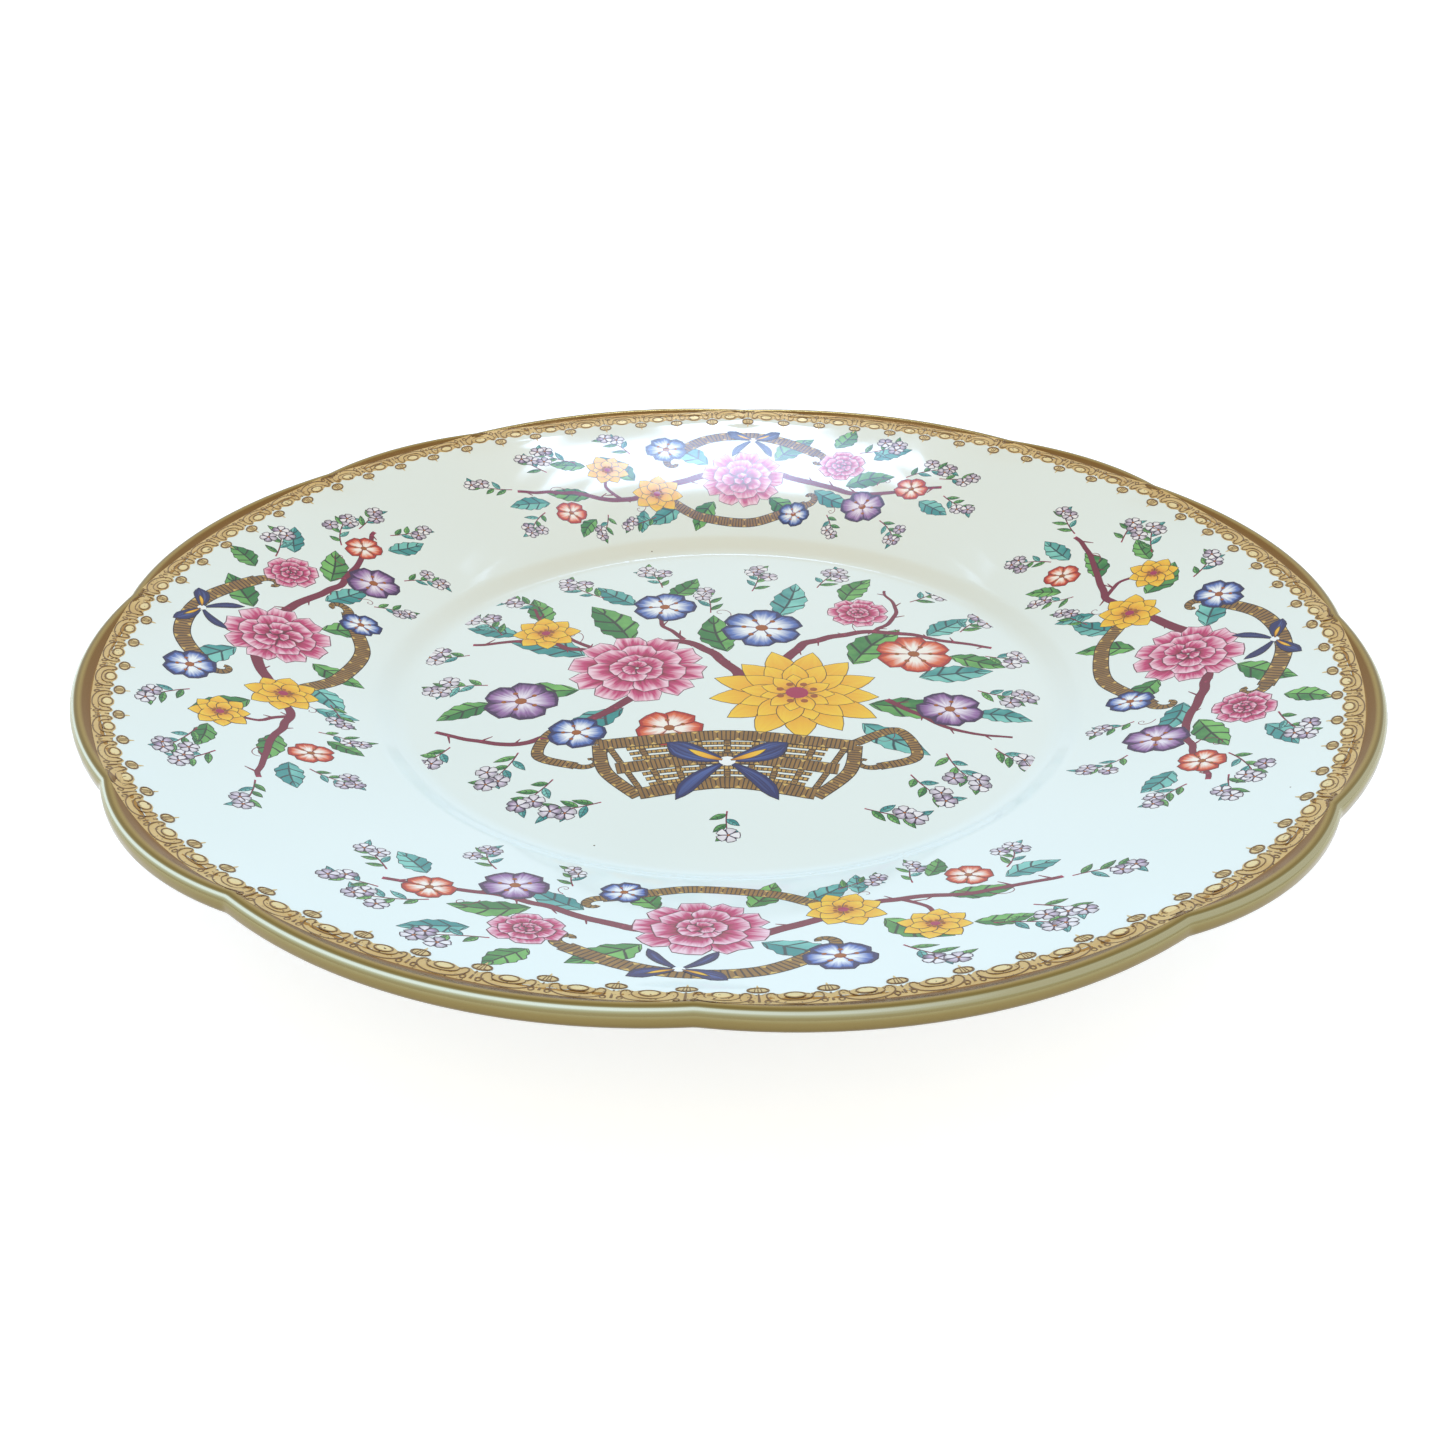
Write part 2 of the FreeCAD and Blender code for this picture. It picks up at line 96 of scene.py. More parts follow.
# The kinds of node used most. A mix takes a factor and two colours, a range takes a value, where
# it comes from and where it goes, and a noise takes a place, a scale and its detail.
MATH = "ShaderNodeMath"
MIX = "ShaderNodeMix"
RANGE = "ShaderNodeMapRange"
NOISE = "ShaderNodeTexNoise"


def add(tree, kind, inputs=(), **settings):
    """Add a node with its settings, and set or link its inputs, by name or in their order.

    A node that is given for an input stands for the first output it has in use.
    """
    node = tree.nodes.new(kind)
    for name, value in settings.items():
        setattr(node, name, value)
    if not isinstance(inputs, dict):
        used = [index for index, socket in enumerate(node.inputs) if socket.enabled]
        inputs = dict(zip(used, inputs))
    for key, value in inputs.items():
        if isinstance(value, bpy.types.Node):
            value = next(output for output in value.outputs if output.enabled)
        if isinstance(value, bpy.types.NodeSocket):
            tree.links.new(value, node.inputs[key])
        else:
            node.inputs[key].default_value = value
    return node


def colour(code):
    """Linear RGBA of an sRGB hex value."""
    channels = [int(code[start:start + 2], 16) / 255 for start in (1, 3, 5)]
    return [channel / 12.92 if channel <= 0.04045 else ((channel + 0.055) / 1.055) ** 2.4
            for channel in channels] + [1.0]


def new_material(name):
    """An empty node material and its tree."""
    material = bpy.data.materials.new(name)
    material.use_nodes = True
    material.node_tree.nodes.clear()
    return material, material.node_tree


def finish_with(tree, shader):
    """Join a shader to the material's output."""
    add(tree, "ShaderNodeOutputMaterial", {"Surface": shader})


def white_rays(tree):
    """One for the rays that see plain white: from the camera, mirrored or sent through."""
    rays = add(tree, "ShaderNodeLightPath").outputs
    seen = add(tree, MATH, (rays["Is Camera Ray"], rays["Is Glossy Ray"]), operation="MAXIMUM")
    shown = add(tree, MATH, (seen, rays["Is Transmission Ray"]), operation="MAXIMUM")
    return shown


def new_group(name, inputs, output):
    """A geometry node group with named inputs, and what its input node gives."""
    tree = bpy.data.node_groups.new(name, "GeometryNodeTree")
    for label, kind in inputs:
        tree.interface.new_socket(name=label, in_out="INPUT", socket_type=f"NodeSocket{kind}")
    tree.interface.new_socket(name=output, in_out="OUTPUT", socket_type="NodeSocketGeometry")
    return tree, add(tree, "NodeGroupInput").outputs


# ---------------------------------------------------------------------------- sections

def brim_top(radius):
    """Height of the brim's straight upper side."""
    return STEP_TOP + (radius - STEP_RADIUS) * BRIM_RISE


def brim_under(radius):
    """Height of the brim's underside."""
    return brim_top(radius) - BRIM_THICKNESS / math.cos(BRIM_SLOPE)


def bend(before, corner, after, radius, steps):
    """Points of the arc that rounds a corner of the section."""
    before, corner, after = (Vector(point) for point in (before, corner, after))
    back = (before - corner).normalized()
    ahead = (after - corner).normalized()
    half = back.angle(ahead) / 2
    reach = radius / math.tan(half)
    centre = corner + (back + ahead).normalized() * (radius / math.sin(half))
    start = corner + back * reach - centre
    end = corner + ahead * reach - centre
    sweep = start.angle(end)
    points = []
    for step in range(steps + 1):
        share = step / steps
        arm = start * math.sin((1 - share) * sweep) + end * math.sin(share * sweep)
        points.append(tuple(centre + arm / math.sin(sweep)))
    return points


def run(start, end, steps):
    """Points of a straight stretch of the section, without its ends."""
    return [tuple(Vector(start).lerp(Vector(end), step / steps)) for step in range(1, steps)]


def groove(radius):
    """How far the brim dips just inside the lip's crest."""
    share = (radius - GOLD_START) / GROOVE_WIDTH
    return GROOVE_DEPTH * math.sin(math.pi * min(max(share, 0.0), 1.0)) ** 2


def inner_lip(steps):
    """The brim from the gilt edge to the start of the lip's rounding."""
    end = PLATE_RADIUS - CREST_REACH
    radii = [GOLD_START + (end - GOLD_START) * step / steps for step in range(steps + 1)]
    return [(radius, brim_top(radius) - groove(radius)) for radius in radii]


def outer_lip():
    """The lip's rounded crest, its outside and the round to the underside."""
    crest = (PLATE_RADIUS, RIM_HEIGHT)
    toe = (PLATE_RADIUS, brim_under(PLATE_RADIUS))
    over = bend((BRIM_POINT, brim_top(BRIM_POINT)), crest, toe, LIP_ROUND, 10)
    below = bend(crest, toe, (BRIM_POINT, brim_under(BRIM_POINT)), LIP_ROUND, 6)
    return over[1:] + below


def plate_section():
    """The whole glazed section, from the face's middle round to the back's middle."""
    centre = (0.0, WELL_HEIGHT)
    well_edge = (WELL_RADIUS, WELL_HEIGHT)
    step_edge = (STEP_RADIUS, STEP_TOP)
    lip_start = (GOLD_START, brim_top(GOLD_START))
    rise = bend(centre, well_edge, step_edge, STEP_ROUND, 7)
    turn = bend(well_edge, step_edge, lip_start, STEP_ROUND, 6)
    foot = [(UNDERSIDE_POINT, brim_under(UNDERSIDE_POINT)), (FOOT_ROOT, brim_under(FOOT_ROOT)),
            (FOOT_OUTSIDE, 0.0), (FOOT_INSIDE, 0.0), (RECESS_RADIUS, RECESS_HEIGHT),
            (0.0, RECESS_HEIGHT)]
    root = bend(*foot[0:3], FOOT_ROOT_ROUND, 4)
    heel = bend(*foot[1:4], FOOT_EDGE_ROUND, 3)
    toe = bend(*foot[2:5], FOOT_EDGE_ROUND, 3)
    corner = bend(*foot[3:6], RECESS_ROUND, 3)
    # Under the gold the china lies a little deeper, so that only the gold shows.
    edge = [(radius - 0.25, height - 0.15) for radius, height in outer_lip()]
    under_gold = [(radius, height - 0.06 * (radius > 125.0)) for radius, height in inner_lip(8)]
    points = [centre] + run(centre, rise[0], 8) + rise + turn
    points += run(turn[-1], lip_start, 12) + under_gold + edge
    points += run(edge[-1], root[0], 8) + root + heel + toe + corner
    points += run(corner[-1], (0.0, RECESS_HEIGHT), 6) + [(0.0, RECESS_HEIGHT)]
    return points


def gilt_section():
    """The gold on the lip as a closed skin, its first point also its last.

    Its face lies a hair below the solid's, and its back well inside the china.
    """
    face_depth = 0.005
    back_depth = 0.35
    gold = inner_lip(16) + outer_lip()
    gold += run(outer_lip()[-1], (GOLD_END, brim_under(GOLD_END)), 3)
    outside = []
    inside = []
    for index, point in enumerate(gold):
        before = Vector(gold[max(index - 1, 0)])
        after = Vector(gold[min(index + 1, len(gold) - 1)])
        along = (after - before).normalized()
        normal = Vector((-along.y, along.x))
        outside.append(tuple(Vector(point) - normal * face_depth))
        inside.append(tuple(Vector(point) - normal * back_depth))
    return outside + inside[::-1] + outside[:1]


# ------------------------------------------------------------------------ turned pieces

def lobe(half_span):
    """Offset of a lobe's arc centre from the axis, and the arc's radius, in metres."""
    rise = PLATE_RADIUS - NOTCH_RADIUS * math.cos(math.radians(half_span))
    reach = NOTCH_RADIUS * math.sin(math.radians(half_span))
    radius = (reach ** 2 + rise ** 2) / (2 * rise)
    return (PLATE_RADIUS - radius) * MM, radius * MM


def turning_tree():
    """Turn a section about the axis and draw its edge in to lobes and notches."""
    lengths = ("Plate Radius", "Lobing Starts", "Lobing Full", "Notch Softness",
               "Short Lobe Offset", "Short Lobe Radius", "Long Lobe Offset",
               "Long Lobe Radius", "Long Lobe Place", "Outline Turn")
    tree, given = new_group("turned and lobed", [
        ("Section", "Geometry"), ("Turns", "Int"), *((name, "Float") for name in lengths),
        ("Material", "Material")], "Turned")

    # A grid has one row of points for each turn, and each row copies the section.
    size = add(tree, "GeometryNodeAttributeDomainSize", {"Geometry": given["Section"]})
    points = size.outputs["Point Count"]
    columns = add(tree, MATH, (given["Turns"], 1.0), operation="ADD")
    grid = add(tree, "GeometryNodeMeshGrid", {"Vertices X": columns, "Vertices Y": points})
    index = add(tree, "GeometryNodeInputIndex")
    quotient = add(tree, MATH, (index, points), operation="DIVIDE")
    turn = add(tree, MATH, (quotient,), operation="FLOOR")
    along = add(tree, MATH, (index, points), operation="MODULO")
    place = add(tree, "GeometryNodeInputPosition")
    sample = add(tree, "GeometryNodeSampleIndex", {"Geometry": given["Section"], "Value": place,
                                                   "Index": along}, data_type="FLOAT_VECTOR")
    section = add(tree, "ShaderNodeSeparateXYZ", (sample,))
    share = add(tree, MATH, (turn, given["Turns"]), operation="DIVIDE")
    angle = add(tree, MATH, (share, math.tau), operation="MULTIPLY")

    # The lobes repeat each quarter turn, mirrored about the middle of a short lobe.
    turned = add(tree, MATH, (angle, given["Outline Turn"]), operation="SUBTRACT")
    folded = add(tree, MATH, (turned, math.pi / 4), operation="PINGPONG")
    short_arm = add(tree, MATH, (math.pi / 4, folded), operation="SUBTRACT")
    long_arm = add(tree, MATH, (short_arm, given["Long Lobe Place"]), operation="SUBTRACT")
    next_place = add(tree, MATH, (math.pi / 2, given["Long Lobe Place"]), operation="SUBTRACT")
    next_arm = add(tree, MATH, (short_arm, next_place), operation="SUBTRACT")
    reaches = []
    for arm, kind in ((short_arm, "Short"), (long_arm, "Long"), (next_arm, "Long")):
        offset, radius = given[f"{kind} Lobe Offset"], given[f"{kind} Lobe Radius"]
        cosine = add(tree, MATH, (arm,), operation="COSINE")
        sine = add(tree, MATH, (arm,), operation="SINE")
        near = add(tree, MATH, (cosine, offset), operation="MULTIPLY")
        side = add(tree, MATH, (sine, offset), operation="MULTIPLY")
        side_square = add(tree, MATH, (side, 2.0), operation="POWER")
        square = add(tree, MATH, (radius, 2.0), operation="POWER")
        rest = add(tree, MATH, (square, side_square), operation="SUBTRACT")
        far = add(tree, MATH, (rest,), operation="SQRT")
        reaches.append(add(tree, MATH, (near, far), operation="ADD"))
    pair = add(tree, MATH, (reaches[0], reaches[1], given["Notch Softness"]),
               operation="SMOOTH_MAX")
    outline = add(tree, MATH, (pair, reaches[2], given["Notch Softness"]),
                  operation="SMOOTH_MAX")
    dip = add(tree, MATH, (given["Plate Radius"], outline), operation="SUBTRACT")
    ramp = add(tree, RANGE, (section.outputs["X"], given["Lobing Starts"], given["Lobing Full"]),
               interpolation_type="SMOOTHSTEP")
    drawn = add(tree, MATH, (dip, ramp), operation="MULTIPLY")
    radius = add(tree, MATH, (section.outputs["X"], drawn), operation="SUBTRACT")

    cosine = add(tree, MATH, (angle,), operation="COSINE")
    sine = add(tree, MATH, (angle,), operation="SINE")
    x = add(tree, MATH, (radius, cosine), operation="MULTIPLY")
    y = add(tree, MATH, (radius, sine), operation="MULTIPLY")
    spot = add(tree, "ShaderNodeCombineXYZ", (x, y, section.outputs["Z"]))
    last = add(tree, MATH, (points, 1.0), operation="SUBTRACT")
    round_section = add(tree, MATH, (along, last), operation="DIVIDE")
    marked = add(tree, "GeometryNodeStoreNamedAttribute",
                 {"Geometry": grid, "Name": "round_section", "Value": round_section},
                 data_type="FLOAT", domain="POINT")
    moved = add(tree, "GeometryNodeSetPosition", {"Geometry": marked, "Position": spot})
    welded = add(tree, "GeometryNodeMergeByDistance", {"Geometry": moved, "Distance": 0.000002})
    smooth = add(tree, "GeometryNodeSetShadeSmooth", {"Geometry": welded})
    real = add(tree, "GeometryNodeRealizeInstances", {"Geometry": smooth})
    made = add(tree, "GeometryNodeSetMaterial", {"Geometry": real, "Material": given["Material"]})
    add(tree, "NodeGroupOutput", {"Turned": made})
    return tree


def face_outwards(mesh):
    """Turn the faces of a closed mesh outwards."""
    form = bmesh.new()
    form.from_mesh(mesh)
    bmesh.ops.recalc_face_normals(form, faces=form.faces)
    form.to_mesh(mesh)
    form.free()


def in_scene(name, data):
    """A new object in the scene."""
    holder = bpy.data.objects.new(name, data)
    bpy.context.scene.collection.objects.link(holder)
    return holder


def grown(name, mesh, tree, values):
    """A plain object from a mesh and a geometry tree with its inputs set."""
    source = in_scene(name, mesh)
    modifier = source.modifiers.new("grow", "NODES")
    modifier.node_group = tree
    for item in tree.interface.items_tree:
        if item.name in values:
            modifier[item.identifier] = values[item.name]
    bpy.context.view_layer.update()
    evaluated = source.evaluated_get(bpy.context.evaluated_depsgraph_get())
    result = bpy.data.meshes.new_from_object(evaluated)
    source.modifiers.clear()
    source.data = result
    face_outwards(result)
    result.name = name
    return source


def turned_piece(name, section, turns, tree, material):
    """A piece of the plate turned from its section and lobed at its edge."""
    mesh = bpy.data.meshes.new(name)
    mesh.from_pydata([(radius * MM, 0.0, height * MM) for radius, height in section], [], [])
    short_offset, short_radius = lobe(SHORT_HALF_SPAN)
    long_offset, long_radius = lobe(LONG_HALF_SPAN)
    return grown(name, mesh, tree, {
        "Turns": turns,
        "Plate Radius": PLATE_RADIUS * MM,
        "Lobing Starts": LOBING_STARTS,
        "Lobing Full": LOBING_FULL,
        "Notch Softness": 0.00015,
        "Short Lobe Offset": short_offset,
        "Short Lobe Radius": short_radius,
        "Long Lobe Offset": long_offset,
        "Long Lobe Radius": long_radius,
        "Long Lobe Place": math.radians(SHORT_HALF_SPAN + LONG_HALF_SPAN),
        "Outline Turn": math.radians(OUTLINE_TURN),
        "Material": material,
    })


# --------------------------------------------------------------------------- materials

def glaze_material():
    """Clear glaze over bone china: warm white, mirror-bright and very slightly rippled."""
    material, tree = new_material("glazed bone china")
    place = add(tree, "ShaderNodeTexCoord").outputs["Object"]
    # Glaze pools and thins over some 40 mm, which shifts the white a little.
    pooling = add(tree, NOISE, (place, 25.0, 1.0))
    body = add(tree, MIX, (pooling, colour("#E8F0EE"), colour("#EEF4F2")), data_type="RGBA")
    # Kiln specks, about 0.3 mm across and several centimetres apart.
    specks = add(tree, "ShaderNodeTexVoronoi", {"Vector": place, "Scale": 45.0, "Randomness": 1.0})
    dot = add(tree, MATH, (specks, 0.008), operation="LESS_THAN")
    marked = add(tree, MIX, (dot, body, colour("#4A3A2C")), data_type="RGBA")
    # The foot's edge is wiped bare of glaze before firing.
    height = add(tree, "ShaderNodeSeparateXYZ", (place,)).outputs["Z"]
    bare = add(tree, MATH, (height, 0.00035), operation="LESS_THAN")
    final = add(tree, MIX, (bare, marked, colour("#D9CFBC")), data_type="RGBA")
    gloss = add(tree, RANGE, {"Value": bare, "To Min": 0.05, "To Max": 0.7})
    ripple = add(tree, NOISE, (place, 60.0, 2.0))
    bump = add(tree, "ShaderNodeBump", {"Height": ripple, "Strength": 0.04, "Distance": 0.0004})
    shader = add(tree, "ShaderNodeBsdfPrincipled", {"Base Color": final, "Roughness": gloss,
                                                    "Normal": bump, "IOR": 1.5})
    finish_with(tree, shader)
    return material


def lip_gold_material():
    """Fired liquid gold on the lip, with a painted highlight on the crest and painted shade."""
    material, tree = new_material("burnished lip gold")
    place = add(tree, "ShaderNodeTexCoord").outputs["Object"]
    round_section = add(tree, "ShaderNodeAttribute", attribute_name="round_section")
    # The ramp along the section paints light into the gold: a dark band of painted reflection just
    # inside the crest, a pale painted highlight on the crest, and painted shade darkening the
    # outside towards its lower edge.
    tone = add(tree, "ShaderNodeValToRGB", {"Fac": round_section.outputs["Fac"]})
    ramp = tone.color_ramp
    ramp.elements[0].color = colour("#A97F3A")
    ramp.elements[1].color = colour("#84683A")
    for position, code in ((0.095, "#A07A38"), (0.120, "#7C5A2C"), (0.200, "#7E5E2E"),
                           (0.232, "#A08C54"), (0.258, "#7C6A38"), (0.272, "#8A8054"),
                           (0.281, "#DCEADF"), (0.293, "#E2F0E6"), (0.303, "#B4B898"),
                           (0.318, "#9C946A"), (0.360, "#8E7E50"), (0.400, "#7A6A40"),
                           (0.440, "#665836"), (0.465, "#5A4E2E")):
        ramp.elements.new(position).color = colour(code)
    wear = add(tree, NOISE, (place, 300.0, 3.0))
    rubbed = add(tree, RANGE, (wear, 0.35, 0.75, 0.10, 0.26))
    # The crest's painted highlight is kept on one side only, dimmed elsewhere over 36 mm.
    side = add(tree, "ShaderNodeVectorMath", (place, (-0.574, -0.819, 0.0)),
               operation="DOT_PRODUCT")
    crest_highlight_dimmed = add(tree, RANGE, (side, 0.077, 0.113, 1.0, 0.0))
    final = add(tree, MIX, (crest_highlight_dimmed, tone, colour("#ACA886")), data_type="RGBA", blend_type="DARKEN")
    shader = add(tree, "ShaderNodeBsdfPrincipled", {"Base Color": final, "Roughness": rubbed,
                                                    "Metallic": 0.85})
    finish_with(tree, shader)
    return material


def floor_material():
    """White sweep of paper that keeps the plate's soft shadow."""
    material, tree = new_material("white paper")
    lift = add(tree, MATH, (white_rays(tree), 0.66), operation="MULTIPLY")
    shader = add(tree, "ShaderNodeBsdfPrincipled", {"Base Color": colour("#D8DDE8"),
                                                    "Roughness": 0.9,
                                                    "Emission Color": (1, 1, 1, 1),
                                                    "Emission Strength": lift})
    finish_with(tree, shader)
    return material


# ------------------------------------------------------------------------- gilt border

BORDER_PITCH = math.tau * GILT_RADIUS / BORDER_COUNT
ARCH_LINE = [(-2.75, 2.75), (-3.05, 3.35), (-3.7, 3.35), (-4.1, 2.6), (-3.9, 1.6), (-3.1, 0.8),
             (-1.7, 0.3), (0.0, 0.15), (1.7, 0.3), (3.1, 0.8), (3.9, 1.6), (4.1, 2.6),
             (3.7, 3.35), (3.05, 3.35), (2.75, 2.75)]
INNER_ARCH_LINE = [(-2.45, 3.0), (-2.6, 2.35), (-2.15, 1.7), (-1.2, 1.3), (0.0, 1.2),
                   (1.2, 1.3), (2.15, 1.7), (2.6, 2.35), (2.45, 3.0)]
GROUND_EDGE = [(0.0, 3.95), (0.9, 3.85), (1.7, 3.45), (2.3, 3.2), (3.0, 3.55), (3.6, 3.7),
               (4.2, 3.45), (4.7, 3.0), (BORDER_PITCH / 2, 2.9)]

# The heights of the border's ground and of its lines over the glaze.
GROUND_HEIGHT = 0.07
LINE_HEIGHT = 0.13

# What a raised piece tells its material at each point: the place across and along its shape,
# the distance to its edge in millimetres, and how pale or dark it is.
POINT_VALUES = ("across", "along", "rim", "tone")


class Relief:
    """Faces of one raised piece, with what its material reads at each point."""

    def __init__(self):
        self.points = []
        self.faces = []
        self.values = {label: [] for label in POINT_VALUES}

    def point(self, place, across=0.0, along=0.0, rim=1.0, tone=0.0):
        """Add a point in metres from a place in millimetres."""
        self.points.append([value * MM for value in place])
        for label, value in zip(POINT_VALUES, (across, along, rim, tone)):
            self.values[label].append(value)
        return len(self.points) - 1

    def mesh(self, name):
        """The piece's mesh, with its attributes."""
        mesh = bpy.data.meshes.new(name)
        mesh.from_pydata(self.points, [], self.faces)
        for label, values in self.values.items():
            mesh.attributes.new(label, "FLOAT", "POINT").data.foreach_set("value", values)
        return mesh


def through(points, spacing):
    """A smooth line through points, with steps of about one spacing."""
    ends = [points[0]] + list(points) + [points[-1]]
    line = []
    for index in range(1, len(ends) - 2):
        a, b, c, d = (Vector(point) for point in ends[index - 1:index + 3])
        steps = max(2, round((c - b).length / spacing))
        for step in range(steps):
            t = step / steps
            line.append(0.5 * (2 * b + (c - a) * t + (2 * a - 5 * b + 4 * c - d) * t ** 2
                               + (3 * b - a - 3 * c + d) * t ** 3))
    line.append(Vector(points[-1]))
    return line


def stroke(relief, place, line, widths, height, tone=0.0, looped=False):
    """A brush stroke: a low flat ribbon along a line, from its first width to its last."""
    sections = []
    count = len(line)
    length = 0.0
    for index, spot in enumerate(line):
        before = line[index - 1] if index or looped else spot
        after = line[(index + 1) % count] if index < count - 1 or looped else spot
        ahead = (after - before).normalized()
        side = Vector((-ahead.y, ahead.x))
        if index:
            length += (spot - line[index - 1]).length
        half = (widths[0] + (widths[1] - widths[0]) * index / max(count - 1, 1)) / 2
        if max(widths) > 1.2:
            inset = min(0.4, half * 0.8)
            profile = ((half, ROOT, 0.0), (half, height, 0.0), (half - inset, height, inset),
                       (inset - half, height, inset), (-half, height, 0.0), (-half, ROOT, 0.0))
        else:
            profile = ((half, ROOT, 1.0), (half, height, 1.0), (-half, height, 1.0),
                       (-half, ROOT, 1.0))
        sections.append([relief.point(place(spot + side * shift, rise), shift / half, length,
                                      rim, tone) for shift, rise, rim in profile])
    pairs = list(zip(sections, sections[1:]))
    if looped:
        pairs.append((sections[-1], sections[0]))
    else:
        relief.faces.append(sections[0])
        relief.faces.append(sections[-1][::-1])
    for first, second in pairs:
        for here in range(len(first)):
            there = (here + 1) % len(first)
            relief.faces.append((first[here], second[here], second[there], first[there]))


def oval(centre, half_width, half_height, count):
    """Points round an oval."""
    return [Vector((centre[0] + half_width * math.cos(math.tau * step / count),
                    centre[1] + half_height * math.sin(math.tau * step / count)))
            for step in range(count)]


def cushion(relief, place, centre, half_width, half_height, count, height, tone):
    """A low domed oval."""
    low = [relief.point(place(spot, ROOT), 0, 0, 0.0, tone)
           for spot in oval(centre, half_width, half_height, count)]
    shoulder = [relief.point(place(spot, height * 0.8), 0, 0, 0.3, tone)
                for spot in oval(centre, half_width * 0.8, half_height * 0.8, count)]
    top = relief.point(place(Vector(centre), height), 0, 0, 0.6, tone)
    for index in range(count):
        after = (index + 1) % count
        relief.faces.append((low[index], low[after], shoulder[after], shoulder[index]))
        relief.faces.append((shoulder[index], shoulder[after], top))
    relief.faces.append(low[::-1])


def on_border(spot, height):
    """Place a border point, given along the gilt circle and inwards from it."""
    angle = spot[0] / GILT_RADIUS
    radius = GILT_RADIUS - spot[1]
    return radius * math.cos(angle), radius * math.sin(angle), height


def border_ground():
    """One unit of the gilt border's ground, with its bead and its bud."""
    relief = Relief()
    half = [Vector(spot) for spot in GROUND_EDGE]
    edge = [Vector((-spot.x, spot.y)) for spot in half[:0:-1]] + half
    columns = []
    for spot in edge:
        column = []
        for share, height in ((-0.01, -0.1), (-0.01, GROUND_HEIGHT), (0.3, GROUND_HEIGHT),
                              (0.7, GROUND_HEIGHT), (0.94, GROUND_HEIGHT), (1.0, 0.03),
                              (1.0, -0.1)):
            rim = (1 - share) * spot.y
            column.append(relief.point(on_border((spot.x, spot.y * share), height),
                                       0, 0, rim, 0.0))
        columns.append(column)
    for first, second in zip(columns, columns[1:]):
        for index in range(len(first)):
            after = (index + 1) % len(first)
            relief.faces.append((first[index], second[index], second[after], first[after]))
    cushion(relief, on_border, (0.0, 2.75), 1.45, 0.85, 12, 0.16, 1.0)
    cushion(relief, on_border, (BORDER_PITCH / 2, 4.65), 1.6, 0.95, 12, 0.1, 0.4)
    stroke(relief, on_border, [Vector((BORDER_PITCH / 2, 5.4)), Vector((BORDER_PITCH / 2, 6.5))],
           (0.6, 0.15), 0.06, 0.3)
    return relief.mesh("border_ground_unit")


def border_lines():
    """One unit of the border's dark line work."""
    relief = Relief()
    side = BORDER_PITCH / 2
    strokes = [(through(ARCH_LINE, 0.8), (0.22, 0.22), False),
               (through(INNER_ARCH_LINE, 0.8), (0.17, 0.17), False),
               (oval((0.0, 2.75), 1.55, 0.95, 16), (0.22, 0.22), True),
               (oval((side, 4.65), 1.6, 0.92, 16), (0.24, 0.24), True),
               ([Vector((side, 0.7)), Vector((side, 3.1))], (0.42, 0.25), False)]
    for shift in (-0.55, 0.0, 0.55):
        strokes.append(([Vector((side + shift, 4.0)), Vector((side + shift * 0.7, 5.3))],
                        (0.2, 0.12), False))
    for shift in (-1.2, 1.2):
        strokes.append((oval((side + shift, 0.85), 0.42, 0.45, 8), (0.24, 0.24), True))
    for line, widths, looped in strokes:
        stroke(relief, on_border, line, widths, LINE_HEIGHT, looped=looped)
    return relief.mesh("border_lines_unit")


def ring_tree():
    """Repeat a unit round the plate and lay it down on the plate's face."""
    tree, given = new_group("ring laid on the brim", [
        ("Unit", "Geometry"), ("Count", "Int"), ("First Angle", "Float"), ("Plate", "Object"),
        ("Material", "Material")], "Ring")
    stations = add(tree, "GeometryNodeMeshLine", {"Count": given["Count"], "Offset": (0, 0, 0)})
    index = add(tree, "GeometryNodeInputIndex")
    step = add(tree, MATH, (math.tau, given["Count"]), operation="DIVIDE")
    angle = add(tree, MATH, (index, step, given["First Angle"]), operation="MULTIPLY_ADD")
    turn = add(tree, "ShaderNodeCombineXYZ", {"Z": angle})
    units = add(tree, "GeometryNodeInstanceOnPoints",
                {"Points": stations, "Instance": given["Unit"], "Rotation": turn})
    real = add(tree, "GeometryNodeRealizeInstances", {"Geometry": units})
    welded = add(tree, "GeometryNodeMergeByDistance", {"Geometry": real, "Distance": 0.000004})
    plate_info = add(tree, "GeometryNodeObjectInfo", {"Object": given["Plate"]},
                     transform_space="RELATIVE")
    place = add(tree, "GeometryNodeInputPosition")
    parts = add(tree, "ShaderNodeSeparateXYZ", (place,))
    above = add(tree, "ShaderNodeCombineXYZ", (parts.outputs["X"], parts.outputs["Y"], 0.06))
    ray = add(tree, "GeometryNodeRaycast", {"Target Geometry": plate_info.outputs["Geometry"],
                                            "Source Position": above, "Ray Direction": (0, 0, -1),
                                            "Ray Length": 0.1})
    hit = add(tree, "ShaderNodeSeparateXYZ", (ray.outputs["Hit Position"],))
    drop = add(tree, "ShaderNodeCombineXYZ", {"Z": hit.outputs["Z"]})
    laid = add(tree, "GeometryNodeSetPosition", {"Geometry": welded, "Offset": drop})
    made = add(tree, "GeometryNodeSetMaterial", {"Geometry": laid, "Material": given["Material"]})
    add(tree, "NodeGroupOutput", {"Ring": made})
    return tree


